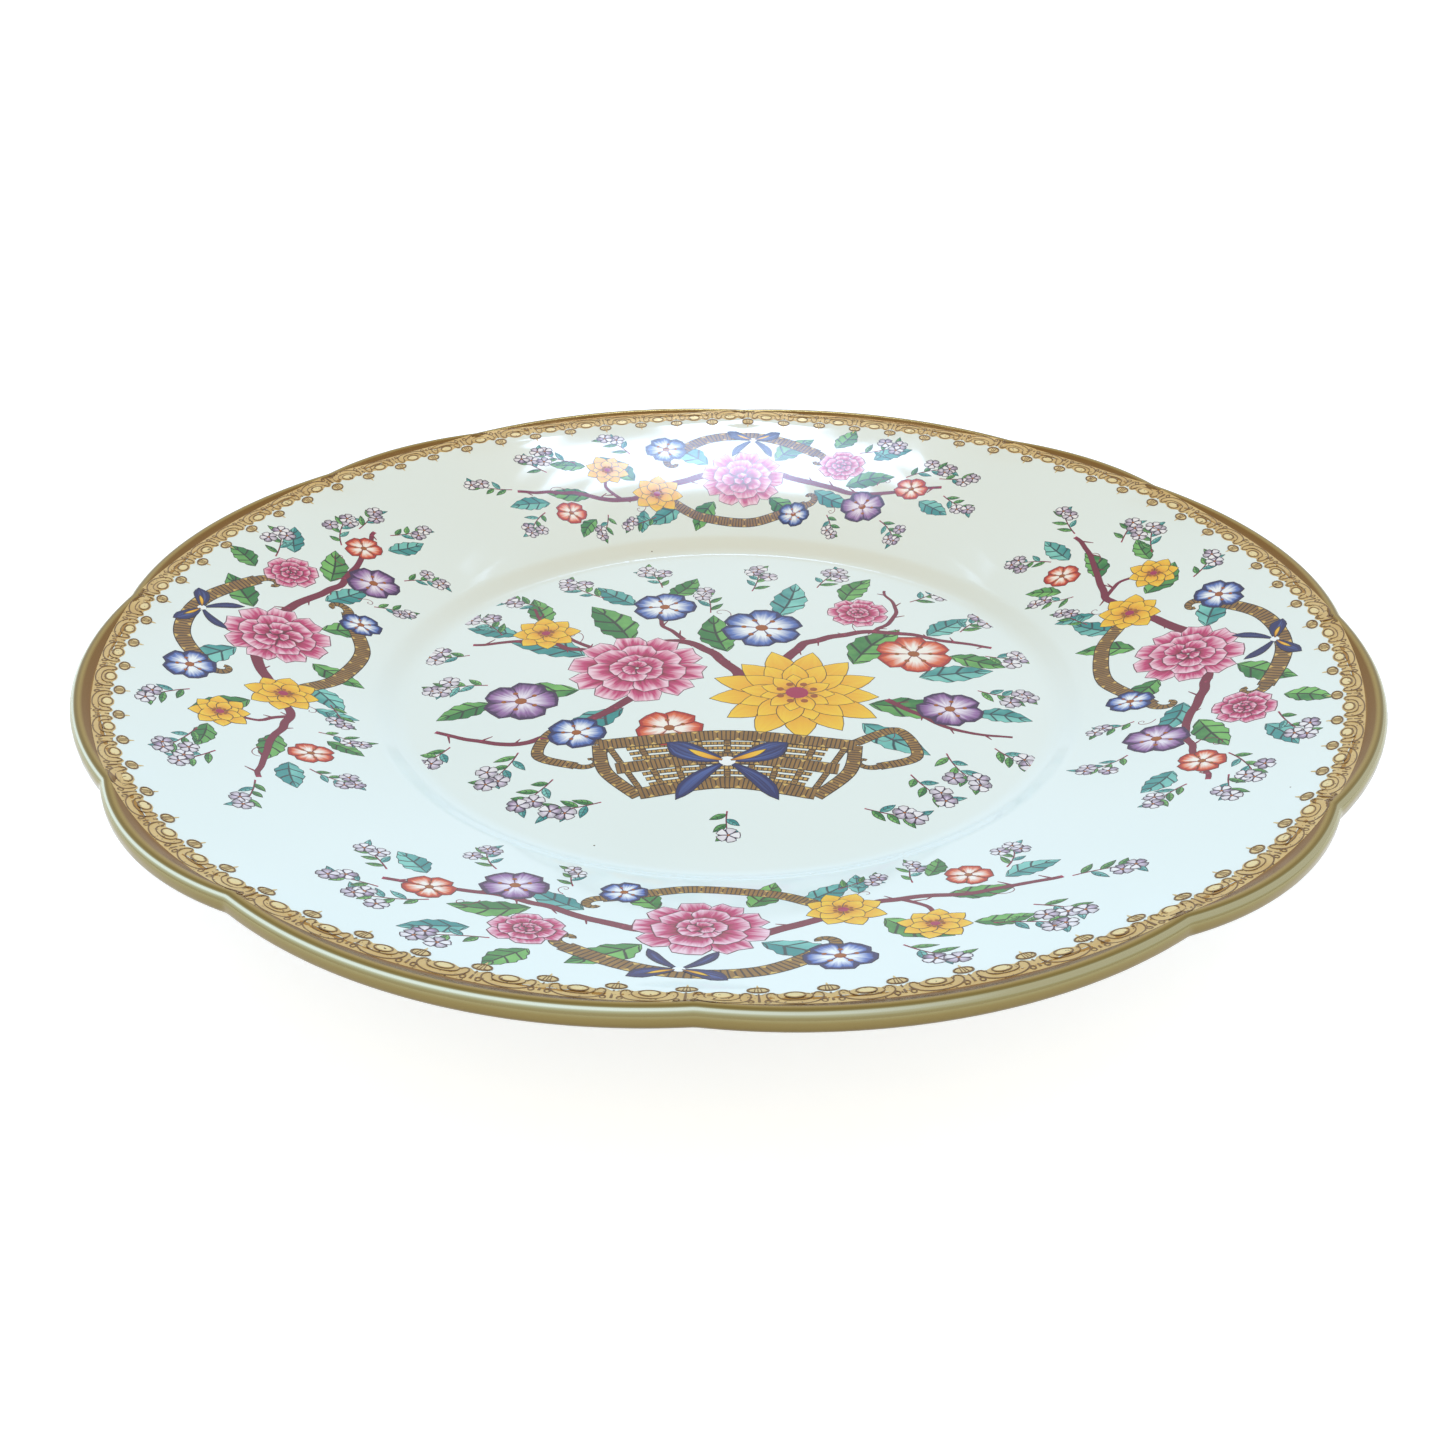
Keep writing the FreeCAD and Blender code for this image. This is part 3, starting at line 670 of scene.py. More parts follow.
def printed_gold_material():
    """Printed and burnished gold: honey-coloured, satin, with worn specks to the ground."""
    material, tree = new_material("printed gold")
    place = add(tree, "ShaderNodeTexCoord").outputs["Object"]
    tone = add(tree, "ShaderNodeAttribute", attribute_name="tone")
    cloud = add(tree, NOISE, (place, 160.0, 3.0))
    ground = add(tree, MIX, (cloud, colour("#BE9650"), colour("#E6CC90")), data_type="RGBA")
    bead = add(tree, MIX, (tone.outputs["Fac"], ground, colour("#EAD6A0")), data_type="RGBA")
    # Worn specks are about 0.3 mm across.
    grit = add(tree, NOISE, (place, 1400.0, 2.0))
    speck = add(tree, RANGE, (grit, 0.64, 0.70))
    worn = add(tree, MIX, (speck, bead, colour("#5E4120")), data_type="RGBA")
    rough = add(tree, RANGE, {"Value": cloud, "To Min": 0.25, "To Max": 0.45})
    shader = add(tree, "ShaderNodeBsdfPrincipled", {"Base Color": worn, "Roughness": rough,
                                                    "Metallic": 0.3})
    finish_with(tree, shader)
    return material


def line_material():
    """Fired umber line work: dark brown, a little worn and satin."""
    material, tree = new_material("fired umber line")
    place = add(tree, "ShaderNodeTexCoord").outputs["Object"]
    wear = add(tree, NOISE, (place, 500.0, 2.0))
    tone = add(tree, MIX, (wear, colour("#543818"), colour("#946E34")), data_type="RGBA")
    shader = add(tree, "ShaderNodeBsdfPrincipled", {"Base Color": tone, "Roughness": 0.35})
    finish_with(tree, shader)
    return material


# -------------------------------------------------------------------- enamel materials

def petal_material(name, base, middle, tip, line, line_width, streaks, rim_tint=0.0,
                   stops=(0.08, 0.5)):
    """Painted overglaze enamel, thin and glossy, brushed from a petal's base to its tip.

    The line is the printed outline. A rim tint paints the petal's border with the tip's tone.
    The stops are where the base's tone ends and the middle's lies.
    """
    material, tree = new_material(name)
    across, along, rim, tone = [
        add(tree, "ShaderNodeAttribute", attribute_name=label).outputs["Fac"]
        for label in POINT_VALUES]
    # Brush streaks run from base to tip, some nine across a petal.
    grid = add(tree, "ShaderNodeCombineXYZ", (across, along, tone))
    stretched = add(tree, "ShaderNodeMapping", {"Vector": grid, "Scale": (4.5, 0.8, 40.0)})
    streak = add(tree, NOISE, (stretched, 1.0, 2.0))
    shifted = add(tree, MATH, (streak, 0.5), operation="SUBTRACT")
    painted = add(tree, MATH, (shifted, streaks, along), operation="MULTIPLY_ADD")
    border = add(tree, RANGE, (rim, 0.0, 0.9, rim_tint, 0.0))
    level = add(tree, MATH, (painted, border), operation="ADD")
    ramp = add(tree, "ShaderNodeValToRGB", {"Fac": level})
    ramp.color_ramp.elements[0].position = stops[0]
    ramp.color_ramp.elements[0].color = colour(base)
    ramp.color_ramp.elements[1].color = colour(tip)
    ramp.color_ramp.elements.new(stops[1]).color = colour(middle)
    # A tone over one is a petal left nearly bare inside its outline.
    bare = add(tree, RANGE, (tone, 1.0, 2.0))
    washed = add(tree, MIX, (bare, ramp, colour("#F4EEF2")), data_type="RGBA")
    drawn = add(tree, RANGE, (rim, line_width * 0.6, line_width * 1.2))
    final = add(tree, MIX, (drawn, colour(line), washed), data_type="RGBA")
    shader = add(tree, "ShaderNodeBsdfPrincipled", {"Base Color": final, "Roughness": 0.12,
                                                    "IOR": 1.5})
    finish_with(tree, shader)
    return material


def leaf_material(name, pale, deep, line):
    """Translucent leaf enamel, washed unevenly over printed veins."""
    material, tree = new_material(name)
    across, along, rim, tone = [
        add(tree, "ShaderNodeAttribute", attribute_name=label).outputs["Fac"]
        for label in POINT_VALUES]
    place = add(tree, "ShaderNodeTexCoord").outputs["Object"]
    wash = add(tree, NOISE, (place, 220.0, 2.0))
    half = add(tree, RANGE, (across, -0.15, 0.15, 0.0, 0.45))
    level = add(tree, MATH, (wash, half), operation="ADD")
    varied = add(tree, MATH, (tone, 0.3, level), operation="MULTIPLY_ADD")
    spread = add(tree, RANGE, (varied, 0.35, 1.15))
    body = add(tree, MIX, (spread, colour(pale), colour(deep)), data_type="RGBA")
    # Side veins leave the midrib every 1.5 mm or so and lean towards the tip.
    away = add(tree, MATH, (across,), operation="ABSOLUTE")
    lean = add(tree, MATH, (away, -0.16, along), operation="MULTIPLY_ADD")
    comb = add(tree, MATH, (lean, 0.125), operation="PINGPONG")
    side = add(tree, RANGE, (comb, 0.012, 0.028))
    mid = add(tree, RANGE, (away, 0.05, 0.11))
    outline = add(tree, RANGE, (rim, 0.1, 0.2))
    veins = add(tree, MATH, (side, mid), operation="MINIMUM")
    drawn = add(tree, MATH, (veins, outline), operation="MINIMUM")
    final = add(tree, MIX, (drawn, colour(line), body), data_type="RGBA")
    shader = add(tree, "ShaderNodeBsdfPrincipled", {"Base Color": final, "Roughness": 0.12,
                                                    "IOR": 1.5})
    finish_with(tree, shader)
    return material


def band_material(name, pale, deep, straw, line, hatch):
    """Brown enamel laid in bands, hatched across in fine printed lines."""
    material, tree = new_material(name)
    across, along, rim, tone = [
        add(tree, "ShaderNodeAttribute", attribute_name=label).outputs["Fac"]
        for label in POINT_VALUES]
    place = add(tree, "ShaderNodeTexCoord").outputs["Object"]
    wash = add(tree, NOISE, (place, 260.0, 2.0))
    washed = add(tree, MIX, (wash, colour(pale), colour(deep)), data_type="RGBA")
    body = add(tree, MIX, (tone, washed, colour(straw)), data_type="RGBA")
    # Small gilt points stand on both edges, 4.4 mm apart.
    inwards = add(tree, MATH, (across,), operation="ABSOLUTE")
    wave = add(tree, MATH, (along, 2.2), operation="PINGPONG")
    reach = add(tree, MATH, (wave, 0.7, inwards), operation="MULTIPLY_ADD")
    pointed = add(tree, RANGE, (reach, 1.95, 2.05))
    comb = add(tree, MATH, (along, hatch / 2), operation="PINGPONG")
    hatching = add(tree, RANGE, (comb, hatch * 0.08, hatch * 0.2))
    outline = add(tree, RANGE, (rim, 0.15, 0.27))
    hatched = add(tree, MIX, (hatching, colour(line), body), data_type="RGBA")
    tipped = add(tree, MIX, (pointed, hatched, colour("#D9B25C")), data_type="RGBA")
    final = add(tree, MIX, (outline, colour(line), tipped), data_type="RGBA")
    shader = add(tree, "ShaderNodeBsdfPrincipled", {"Base Color": final, "Roughness": 0.16,
                                                    "IOR": 1.5})
    finish_with(tree, shader)
    return material


# ------------------------------------------------------------------------------- pieces

turning = turning_tree()
plate = turned_piece("glazed_plate", plate_section(), 720, turning, glaze_material())
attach(plate, "root")
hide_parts("china_body", "glaze_face", "glaze_back")

lip = turned_piece("gilt_lip_skin", gilt_section(), 1200, turning, lip_gold_material())
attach(lip, "root")
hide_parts("gilt_lip")

ring = ring_tree()
round_the_plate = {"Count": BORDER_COUNT, "Plate": plate,
                   "First Angle": math.radians(BORDER_TURN + 180 / BORDER_COUNT)}
ground = grown("gilt_border_ground", border_ground(), ring,
               {**round_the_plate, "Material": printed_gold_material()})
lines = grown("gilt_border_lines", border_lines(), ring,
              {**round_the_plate, "Material": line_material()})
for piece in (ground, lines):
    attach(piece, "root")
    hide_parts("gilt_border")


# ---------------------------------------------------------------- painted flowers

SPRAY_RADIUS = (STEP_RADIUS + GILT_RADIUS - BORDER_AND_BUDS) / 2
# Patches that overlap are set apart by golden-section shares of this height.
LAYER_STEP = 0.004
GOLDEN_SHARE = 0.618034
LEAFLETS = ("green_enamel", "turquoise_enamel")
# Neighbouring petals of a ring lie these steps over each other, three levels in turn.
PETAL_STEP = 0.003
# The heights of the layers over the glaze, from the lowest.
LEAF_LAYER = 0.010
TENDRIL_LAYER = 0.012
SNAG_LAYER = 0.015
STEM_LAYER = 0.0155
SCROLL_LAYER = 0.016
LEAFLET_LAYER = 0.0165


def brim_place(quarter):
    """A function that puts points of a brim spray, along and outwards, on the brim."""
    def place(spot, height):
        radius = SPRAY_RADIUS + spot[1]
        angle = spot[0] / SPRAY_RADIUS + quarter * math.pi / 2
        return (radius * math.cos(angle), radius * math.sin(angle), brim_top(radius) + height)
    return place


def well_place(spot, height):
    """Put a point of the bouquet on the well's floor."""
    return spot[0], spot[1], WELL_HEIGHT + height


def towards(degrees, length=1.0):
    """A step of one length in a direction of the drawing."""
    return Vector((length * math.cos(math.radians(degrees)),
                   length * math.sin(math.radians(degrees))))


class Painting:
    """Enamel shapes of all colours, laid over each other on one part of the plate."""

    def __init__(self, place, reliefs, seed):
        self.place = place
        self.reliefs = reliefs
        self.chance = random.Random(seed)
        self.laid = 0

    def laid_on(self, height):
        """The height of the next patch: no two patches that overlap lie quite level."""
        self.laid += 1
        return height + LAYER_STEP * (self.laid * GOLDEN_SHARE % 1)

    def web(self, tint, shape, columns, rows, height, tone, covered=0.0):
        """A thin flat patch with closed edges.

        The shape gives a spot and its distance to the rim for a column and a row. The part that
        other patches cover takes no share of the brushwork.
        """
        relief = self.reliefs[tint]
        height = self.laid_on(height)
        grid = []
        for row in rows:
            line = []
            for column in columns:
                spot, rim = shape(column, row)
                bare = (row - covered) / (1 - covered)
                line.append((spot, relief.point(self.place(spot, height), column, bare, rim, tone)))
            grid.append(line)
        last_row = len(rows) - 1
        last_column = len(columns) - 1
        for row in range(last_row):
            for column in range(last_column):
                relief.faces.append((grid[row][column][1], grid[row][column + 1][1],
                                     grid[row + 1][column + 1][1], grid[row + 1][column][1]))
        border = [(0, column) for column in range(last_column)]
        border += [(row, last_column) for row in range(last_row)]
        border += [(last_row, column) for column in range(last_column, 0, -1)]
        border += [(row, 0) for row in range(last_row, 0, -1)]
        low = [relief.point(self.place(grid[row][column][0], ROOT), columns[column], rows[row],
                            0.0, tone) for row, column in border]
        count = len(border)
        for index in range(count):
            row, column = border[index]
            next_row, next_column = border[(index + 1) % count]
            relief.faces.append((grid[row][column][1], low[index], low[(index + 1) % count],
                                 grid[next_row][next_column][1]))
        relief.faces.append(low)

    def petal(self, tint, base, heading, length, spread, height, notch=0.0, covered=0.0,
              curl=0.0, pale=0.0):
        """A petal that fans out from its base; its paint starts where others stop covering it."""
        tone = self.chance.random() + pale
        wave = self.chance.uniform(0, math.tau)

        def shape(across, along):
            reach = length * (1 - 0.30 * abs(across) ** 3.0 - notch * math.exp(-(across / 0.3) ** 2)
                              + 0.02 * math.sin(5 * across + wave))
            turn = across * spread + curl * along * along
            spot = Vector(base) + towards(heading + turn, reach * along)
            side = (1 - abs(across)) * math.radians(spread) * reach * along
            return spot, min(side, (1 - along) * reach)

        small = length < 3.0
        columns = (-1.0, -0.6, 0.0, 0.6, 1.0) if small else (-1.0, -0.86, -0.5, 0.0, 0.5, 0.86, 1.0)
        rows = (0.12, 0.55, 0.9, 1.0) if small else (0.12, 0.4, 0.7, 0.92, 1.0)
        self.web(tint, shape, columns, rows, height, tone, covered)

    def blade(self, tint, base, heading, length, width, height, bow=0.0, tooth=0.0,
              fullness=0.42, covered=0.0):
        """A leaf or long petal between two points, bowed to one side, toothed or plain."""
        tone = self.chance.random()
        middle = fullness

        def shape(across, along):
            if along < middle:
                belly = math.sin(math.pi / 2 * along / middle) ** 0.8
            else:
                belly = math.cos(math.pi / 2 * (along - middle) / (1 - middle)) ** 0.9
            ripple = 1 + tooth * (abs(math.sin(along * 4.5 * math.pi)) - 0.5) * abs(across)
            half = max(width / 2 * belly * ripple, 0.04)
            ahead = towards(heading)
            side = Vector((-ahead.y, ahead.x))
            spot = (Vector(base) + ahead * along * length
                    + side * (across * half + bow * length * math.sin(math.pi * along)))
            return spot, (1 - abs(across)) * half

        count = 13 if tooth else 8
        rows = [step / count for step in range(count + 1)]
        self.web(tint, shape, (-1.0, -0.7, 0.0, 0.7, 1.0), rows, height, tone, covered)

    def dab(self, tint, centre, radius, height, tone=0.0):
        """A round dab of enamel."""
        cushion(self.reliefs[tint], self.place, centre, radius, radius,
                8 if radius < 0.8 else 12, height, tone)

    def line(self, tint, points, start, end, height, spacing=1.2, tone=0.0):
        """A brushed line that runs through points."""
        stroke(self.reliefs[tint], self.place, through(points, spacing), (start, end),
               self.laid_on(height), tone)

    def rose(self, centre, radius, petals):
        """A cabbage rose: rings of broad petals round a tight heart."""
        centre = Vector(centre)
        turn = self.chance.uniform(0, 360)
        for index in range(petals):
            self.petal("rose_enamel", centre, turn + index * 360 / petals, radius * 0.97,
                       200 / petals, 0.020 + PETAL_STEP * (index % 3), notch=0.07, covered=0.52)
        ring = max(5, petals - 3)
        for index in range(ring):
            self.petal("rose_enamel", centre, turn + 25 + index * 360 / ring, radius * 0.70,
                       210 / ring, 0.032 + PETAL_STEP * (index % 3), notch=0.05, covered=0.42)
        for index in range(5):
            self.petal("rose_enamel", centre + towards(index * 72, radius * 0.06),
                       turn + 50 + index * 72, radius * 0.42, 42, 0.044 + PETAL_STEP * (index % 3),
                       covered=0.25, curl=12)
        for index in range(3):
            self.petal("rose_enamel", centre, turn + 10 + index * 120, radius * 0.22, 60,
                       0.056 + PETAL_STEP * index, curl=20)

    def daisy(self, centre, radius, petals):
        """A yellow flower of long pointed petals in two rows round a dark eye."""
        centre = Vector(centre)
        turn = self.chance.uniform(0, 360)
        for index in range(petals):
            self.blade("yellow_enamel", centre, turn + index * 360 / petals,
                       radius * self.chance.uniform(0.9, 1.02), radius * 5.0 / petals,
                       0.022 + PETAL_STEP * (index % 3), fullness=0.58, covered=0.2)
        for index in range(petals):
            self.blade("yellow_enamel", centre, turn + (index + 0.5) * 360 / petals,
                       radius * self.chance.uniform(0.62, 0.72), radius * 4.0 / petals,
                       0.034 + PETAL_STEP * (index % 3), fullness=0.58, covered=0.05)
        if radius > 10:
            for index in range(petals - 2):
                self.blade("yellow_enamel", centre, turn + (index + 0.2) * 360 / (petals - 2),
                           radius * 0.42, radius * 2.8 / petals, 0.046, fullness=0.6)
        self.dab("plum_enamel", centre, radius * 0.16, 0.062, tone=0.8)
        for index in range(8):
            self.dab("yellow_enamel", centre + towards(turn + index * 45, radius * 0.2),
                     radius * 0.045 + 0.12, 0.075)

    def blossom(self, tint, centre, radius, petals):
        """A small open blossom with round petals and a stamened eye."""
        centre = Vector(centre)
        turn = self.chance.uniform(0, 360)
        for index in range(petals):
            self.petal(tint, centre, turn + index * 360 / petals, radius, 205 / petals,
                       0.024 + PETAL_STEP * (index % 3), notch=0.05)
        for index in range(petals):
            heading = turn + (index + 0.5) * 360 / petals
            self.line("plum_enamel", [centre, centre + towards(heading, radius * 0.4)],
                      0.16, 0.1, 0.06)
            self.dab("yellow_enamel", centre + towards(heading, radius * 0.42), radius * 0.07 + 0.1,
                     0.07)
        self.dab("yellow_enamel", centre, radius * 0.17 + 0.1, 0.075)

    def leaf(self, tint, base, heading, length, width):
        """A toothed leaf."""
        bow = self.chance.uniform(-0.08, 0.08)
        self.blade(tint, base, heading, length, width, LEAF_LAYER, bow=bow, tooth=0.25)

    def sprig(self, base, heading, length, leaves, curve, size, flowers):
        """A fine stem with paired leaflets, and small outline blossoms at its end."""
        spots = [Vector(base)]
        steps = 5
        for step in range(steps):
            turn = heading + curve * (step / steps - 0.3)
            spots.append(spots[-1] + towards(turn, length / steps))
        self.line("plum_enamel", spots, 0.34, 0.2, STEM_LAYER, tone=0.3)
        line = through(spots, 0.5)
        for index in range(leaves):
            share = (index + 1.0) / (leaves + 0.3)
            at = line[min(int(share * (len(line) - 1)), len(line) - 1)]
            side = 1 if index % 2 else -1
            lean = heading + curve * (share - 0.3) + side * self.chance.uniform(35, 60)
            self.blade(LEAFLETS[index % 2], at, lean, size * self.chance.uniform(0.8, 1.2),
                       size * 0.42, LEAFLET_LAYER)
        for index in range(flowers):
            at = line[-1 - index * max(1, len(line) // (2 * flowers))]
            spot = at + towards(heading + (90 if index % 2 else -90), 1.3 * index)
            for petal in range(5):
                self.petal("purple_enamel", spot, petal * 72 + index * 20, size * 0.6, 38, 0.0215,
                           notch=0.05, pale=1.2)
            self.dab("yellow_enamel", spot, 0.36, 0.032)

    def tendril(self, base, heading, length, turns):
        """A fine coiling tendril."""
        spots = [Vector(base)]
        direction = heading
        for step in range(10):
            direction += turns * (6 + 5 * step)
            spots.append(spots[-1] + towards(direction, length / 10 * (1 - step * 0.06)))
        self.line("plum_enamel", spots, 0.2, 0.12, TENDRIL_LAYER, 0.7)

    def branch(self, points, start, end):
        """A gnarled plum-coloured branch with short snags."""
        knotted = []
        for index, point in enumerate(through(points, 3.2)):
            jog = Vector((self.chance.uniform(-0.45, 0.45), self.chance.uniform(-0.45, 0.45)))
            knotted.append(point + jog if index else point)
        self.line("plum_enamel", knotted, start, end, STEM_LAYER, 1.0)
        for index in range(1, len(knotted) - 1, 2):
            ahead = knotted[index + 1] - knotted[index - 1]
            heading = math.degrees(math.atan2(ahead.y, ahead.x))
            heading += self.chance.choice((-1, 1)) * self.chance.uniform(35, 60)
            reach = self.chance.uniform(1.8, 3.4)
            self.line("plum_enamel", [knotted[index], knotted[index] + towards(heading, reach)],
                      0.6, 0.2, SNAG_LAYER)

    def bow(self, centre, heading, size):
        """A ribbon bow in solid cobalt: two loops, two tails and a knot."""
        centre = Vector(centre)
        for lean, length, width in ((150, 0.95, 0.42), (30, 0.95, 0.42),
                                    (235, 1.15, 0.26), (305, 1.15, 0.26)):
            self.blade("blue_enamel", centre, heading + lean, length * size, width * size, 0.052,
                       bow=0.07 if lean in (150, 305) else -0.07, fullness=0.68, covered=-8.0)
        for lean in (150, 30):
            self.blade("yellow_enamel", centre, heading + lean, 0.62 * size, 0.13 * size, 0.060,
                       bow=0.05 if lean == 150 else -0.05, fullness=0.6)
        self.dab("blue_enamel", centre, 0.14 * size, 0.07, tone=0.5)

    def basket(self):
        """A basket of upright ribs with strands woven over and under them."""
        for points in (((-26, -25), (0, -21), (26, -25)), ((-22, -34), (0, -30), (22, -34)),
                       ((-17, -43), (0, -39), (17, -43))):
            self.line("brown_enamel", points, 4.0, 4.0, 0.044, 1.0)
        ribs = []
        for index in range(9):
            share = (index - 4) / 4
            top = Vector((24 * share, -22.4 - 3.2 * share ** 2))
            low = Vector((15.5 * share, -41.2 - 3.2 * share ** 2))
            ribs.append((top, low))
            self.line("brown_enamel", [top, (top + low) / 2, low], 1.5, 1.3, 0.022, 1.2)
        for row in range(9):
            drop = 0.09 + row * 0.1
            for index in range(8):
                left = ribs[index][0].lerp(ribs[index][1], drop)
                right = ribs[index + 1][0].lerp(ribs[index + 1][1], drop)
                middle = (left + right) / 2
                over = (index + row) % 2
                if index:
                    before = (ribs[index - 1][0].lerp(ribs[index - 1][1], drop) + left) / 2
                    self.line("brown_enamel", [before, left, middle], 1.3, 1.3,
                              0.034 if over else 0.014, 1.2, 0.6 + 0.3 * over)

    def scroll(self, points, width, curl):
        """A hatched brown scroll that narrows and rolls up at both ends."""
        line = through(points, 1.0)
        self.line("brown_enamel", points, width, width, SCROLL_LAYER, 1.0)
        for end, ahead in ((line[0], line[0] - line[1]), (line[-1], line[-1] - line[-2])):
            heading = math.degrees(math.atan2(ahead.y, ahead.x))
            side = curl if end is line[0] else -curl
            spots = [end - towards(heading, 0.6)]
            turn = heading
            for step in range(7):
                spots.append(spots[-1] + towards(turn, 1.5 - step * 0.13))
                turn += side * (22 + 6 * step)
            self.line("brown_enamel", spots, width * 0.75, width * 0.3, 0.018, 0.8)


def paint_brim(painting):
    """One brim spray: roses, daisies and blossoms on a branch, in a ring of scrolls with a bow."""
    painting.scroll([(-23, -9), (-8, -17), (8, -15), (16, -9)], 3.4, -1)
    painting.scroll([(-22, 12), (-9, 17.5), (4, 17), (14, 10)], 3.4, 1)
    painting.branch([(-56, 6), (-36, -2), (-14, 2), (-4, 0)], 1.0, 2.4)
    painting.branch([(56, 4), (42, -1), (30, -6), (18, -3), (6, 2)], 1.0, 2.4)
    painting.branch([(30, -6), (33, 0), (31, 6)], 1.1, 0.7)
    painting.branch([(-36, -2), (-39, -5), (-44, -9)], 1.0, 0.6)
    for along, out, heading, length, width in (
            (-12, 8, 130, 13, 6), (-12, -7, 225, 13, 6), (4, -9, 300, 13, 6), (25, 1, 60, 13, 6),
            (-32, 0, 150, 13, 6), (38, -3, 20, 12, 5), (36, 9, 20, 9, 4), (-26, 15, 110, 9, 4.5),
            (40, -12, 320, 9, 4)):
        painting.leaf("green_enamel", (along, out), heading, length, width)
    for along, out, heading, length, width in (
            (5, 6, 40, 14, 6), (14, -10, 330, 13, 5.5), (-24, -3, 200, 13, 5.5),
            (50, -3, 10, 11, 5), (-53, -1, 195, 10, 5), (-36, 12, 140, 10, 4.5),
            (25, -11, 290, 9, 4)):
        painting.leaf("turquoise_enamel", (along, out), heading, length, width)
    for along, out, heading, length, leaves, curve, flowers in (
            (-46, 7, 140, 11, 6, 30, 3), (-58, 3, 200, 9, 6, -25, 2), (57, 5, 30, 10, 6, 25, 2),
            (53, -6, 325, 10, 6, -30, 3), (36, -11, 300, 9, 5, 30, 2),
            (-32, 14, 150, 10, 5, -30, 3), (38, 11, 40, 10, 6, 25, 3),
            (-46, -11, 215, 10, 6, 30, 3), (24, 12, 60, 9, 5, -20, 2),
            (-30, -12, 240, 8, 5, 20, 2), (22, -14, 345, 10, 5, 15, 2), (46, 9, 60, 8, 4, 15, 2),
            (-54, 9, 160, 8, 4, -20, 2)):
        painting.sprig((along, out), heading, length, leaves, curve, 3.4, flowers)
    for along, out, heading, length, turns in (
            (-40, 2, 80, 10, 1.2), (44, 1, 60, 10, -1.2), (-30, -8, 200, 9, 1.3),
            (24, -9, 280, 8, 1)):
        painting.tendril((along, out), heading, length, turns)
    painting.rose((-4, 0), 12, 9)
    painting.rose((-29, 8), 6.5, 6)
    painting.daisy((20, -5), 7.5, 8)
    painting.daisy((31, 6.5), 6, 8)
    painting.blossom("purple_enamel", (-39, -7), 6.5, 5)
    painting.blossom("blue_enamel", (15, 13), 5.4, 5)
    painting.blossom("blue_enamel", (-20, -13), 5, 5)
    painting.blossom("iron_red_enamel", (46, -8), 4.6, 5)
    painting.blossom("iron_red_enamel", (-49, 3), 4.6, 5)
    painting.bow((-6, 16.5), 0, 7.5)


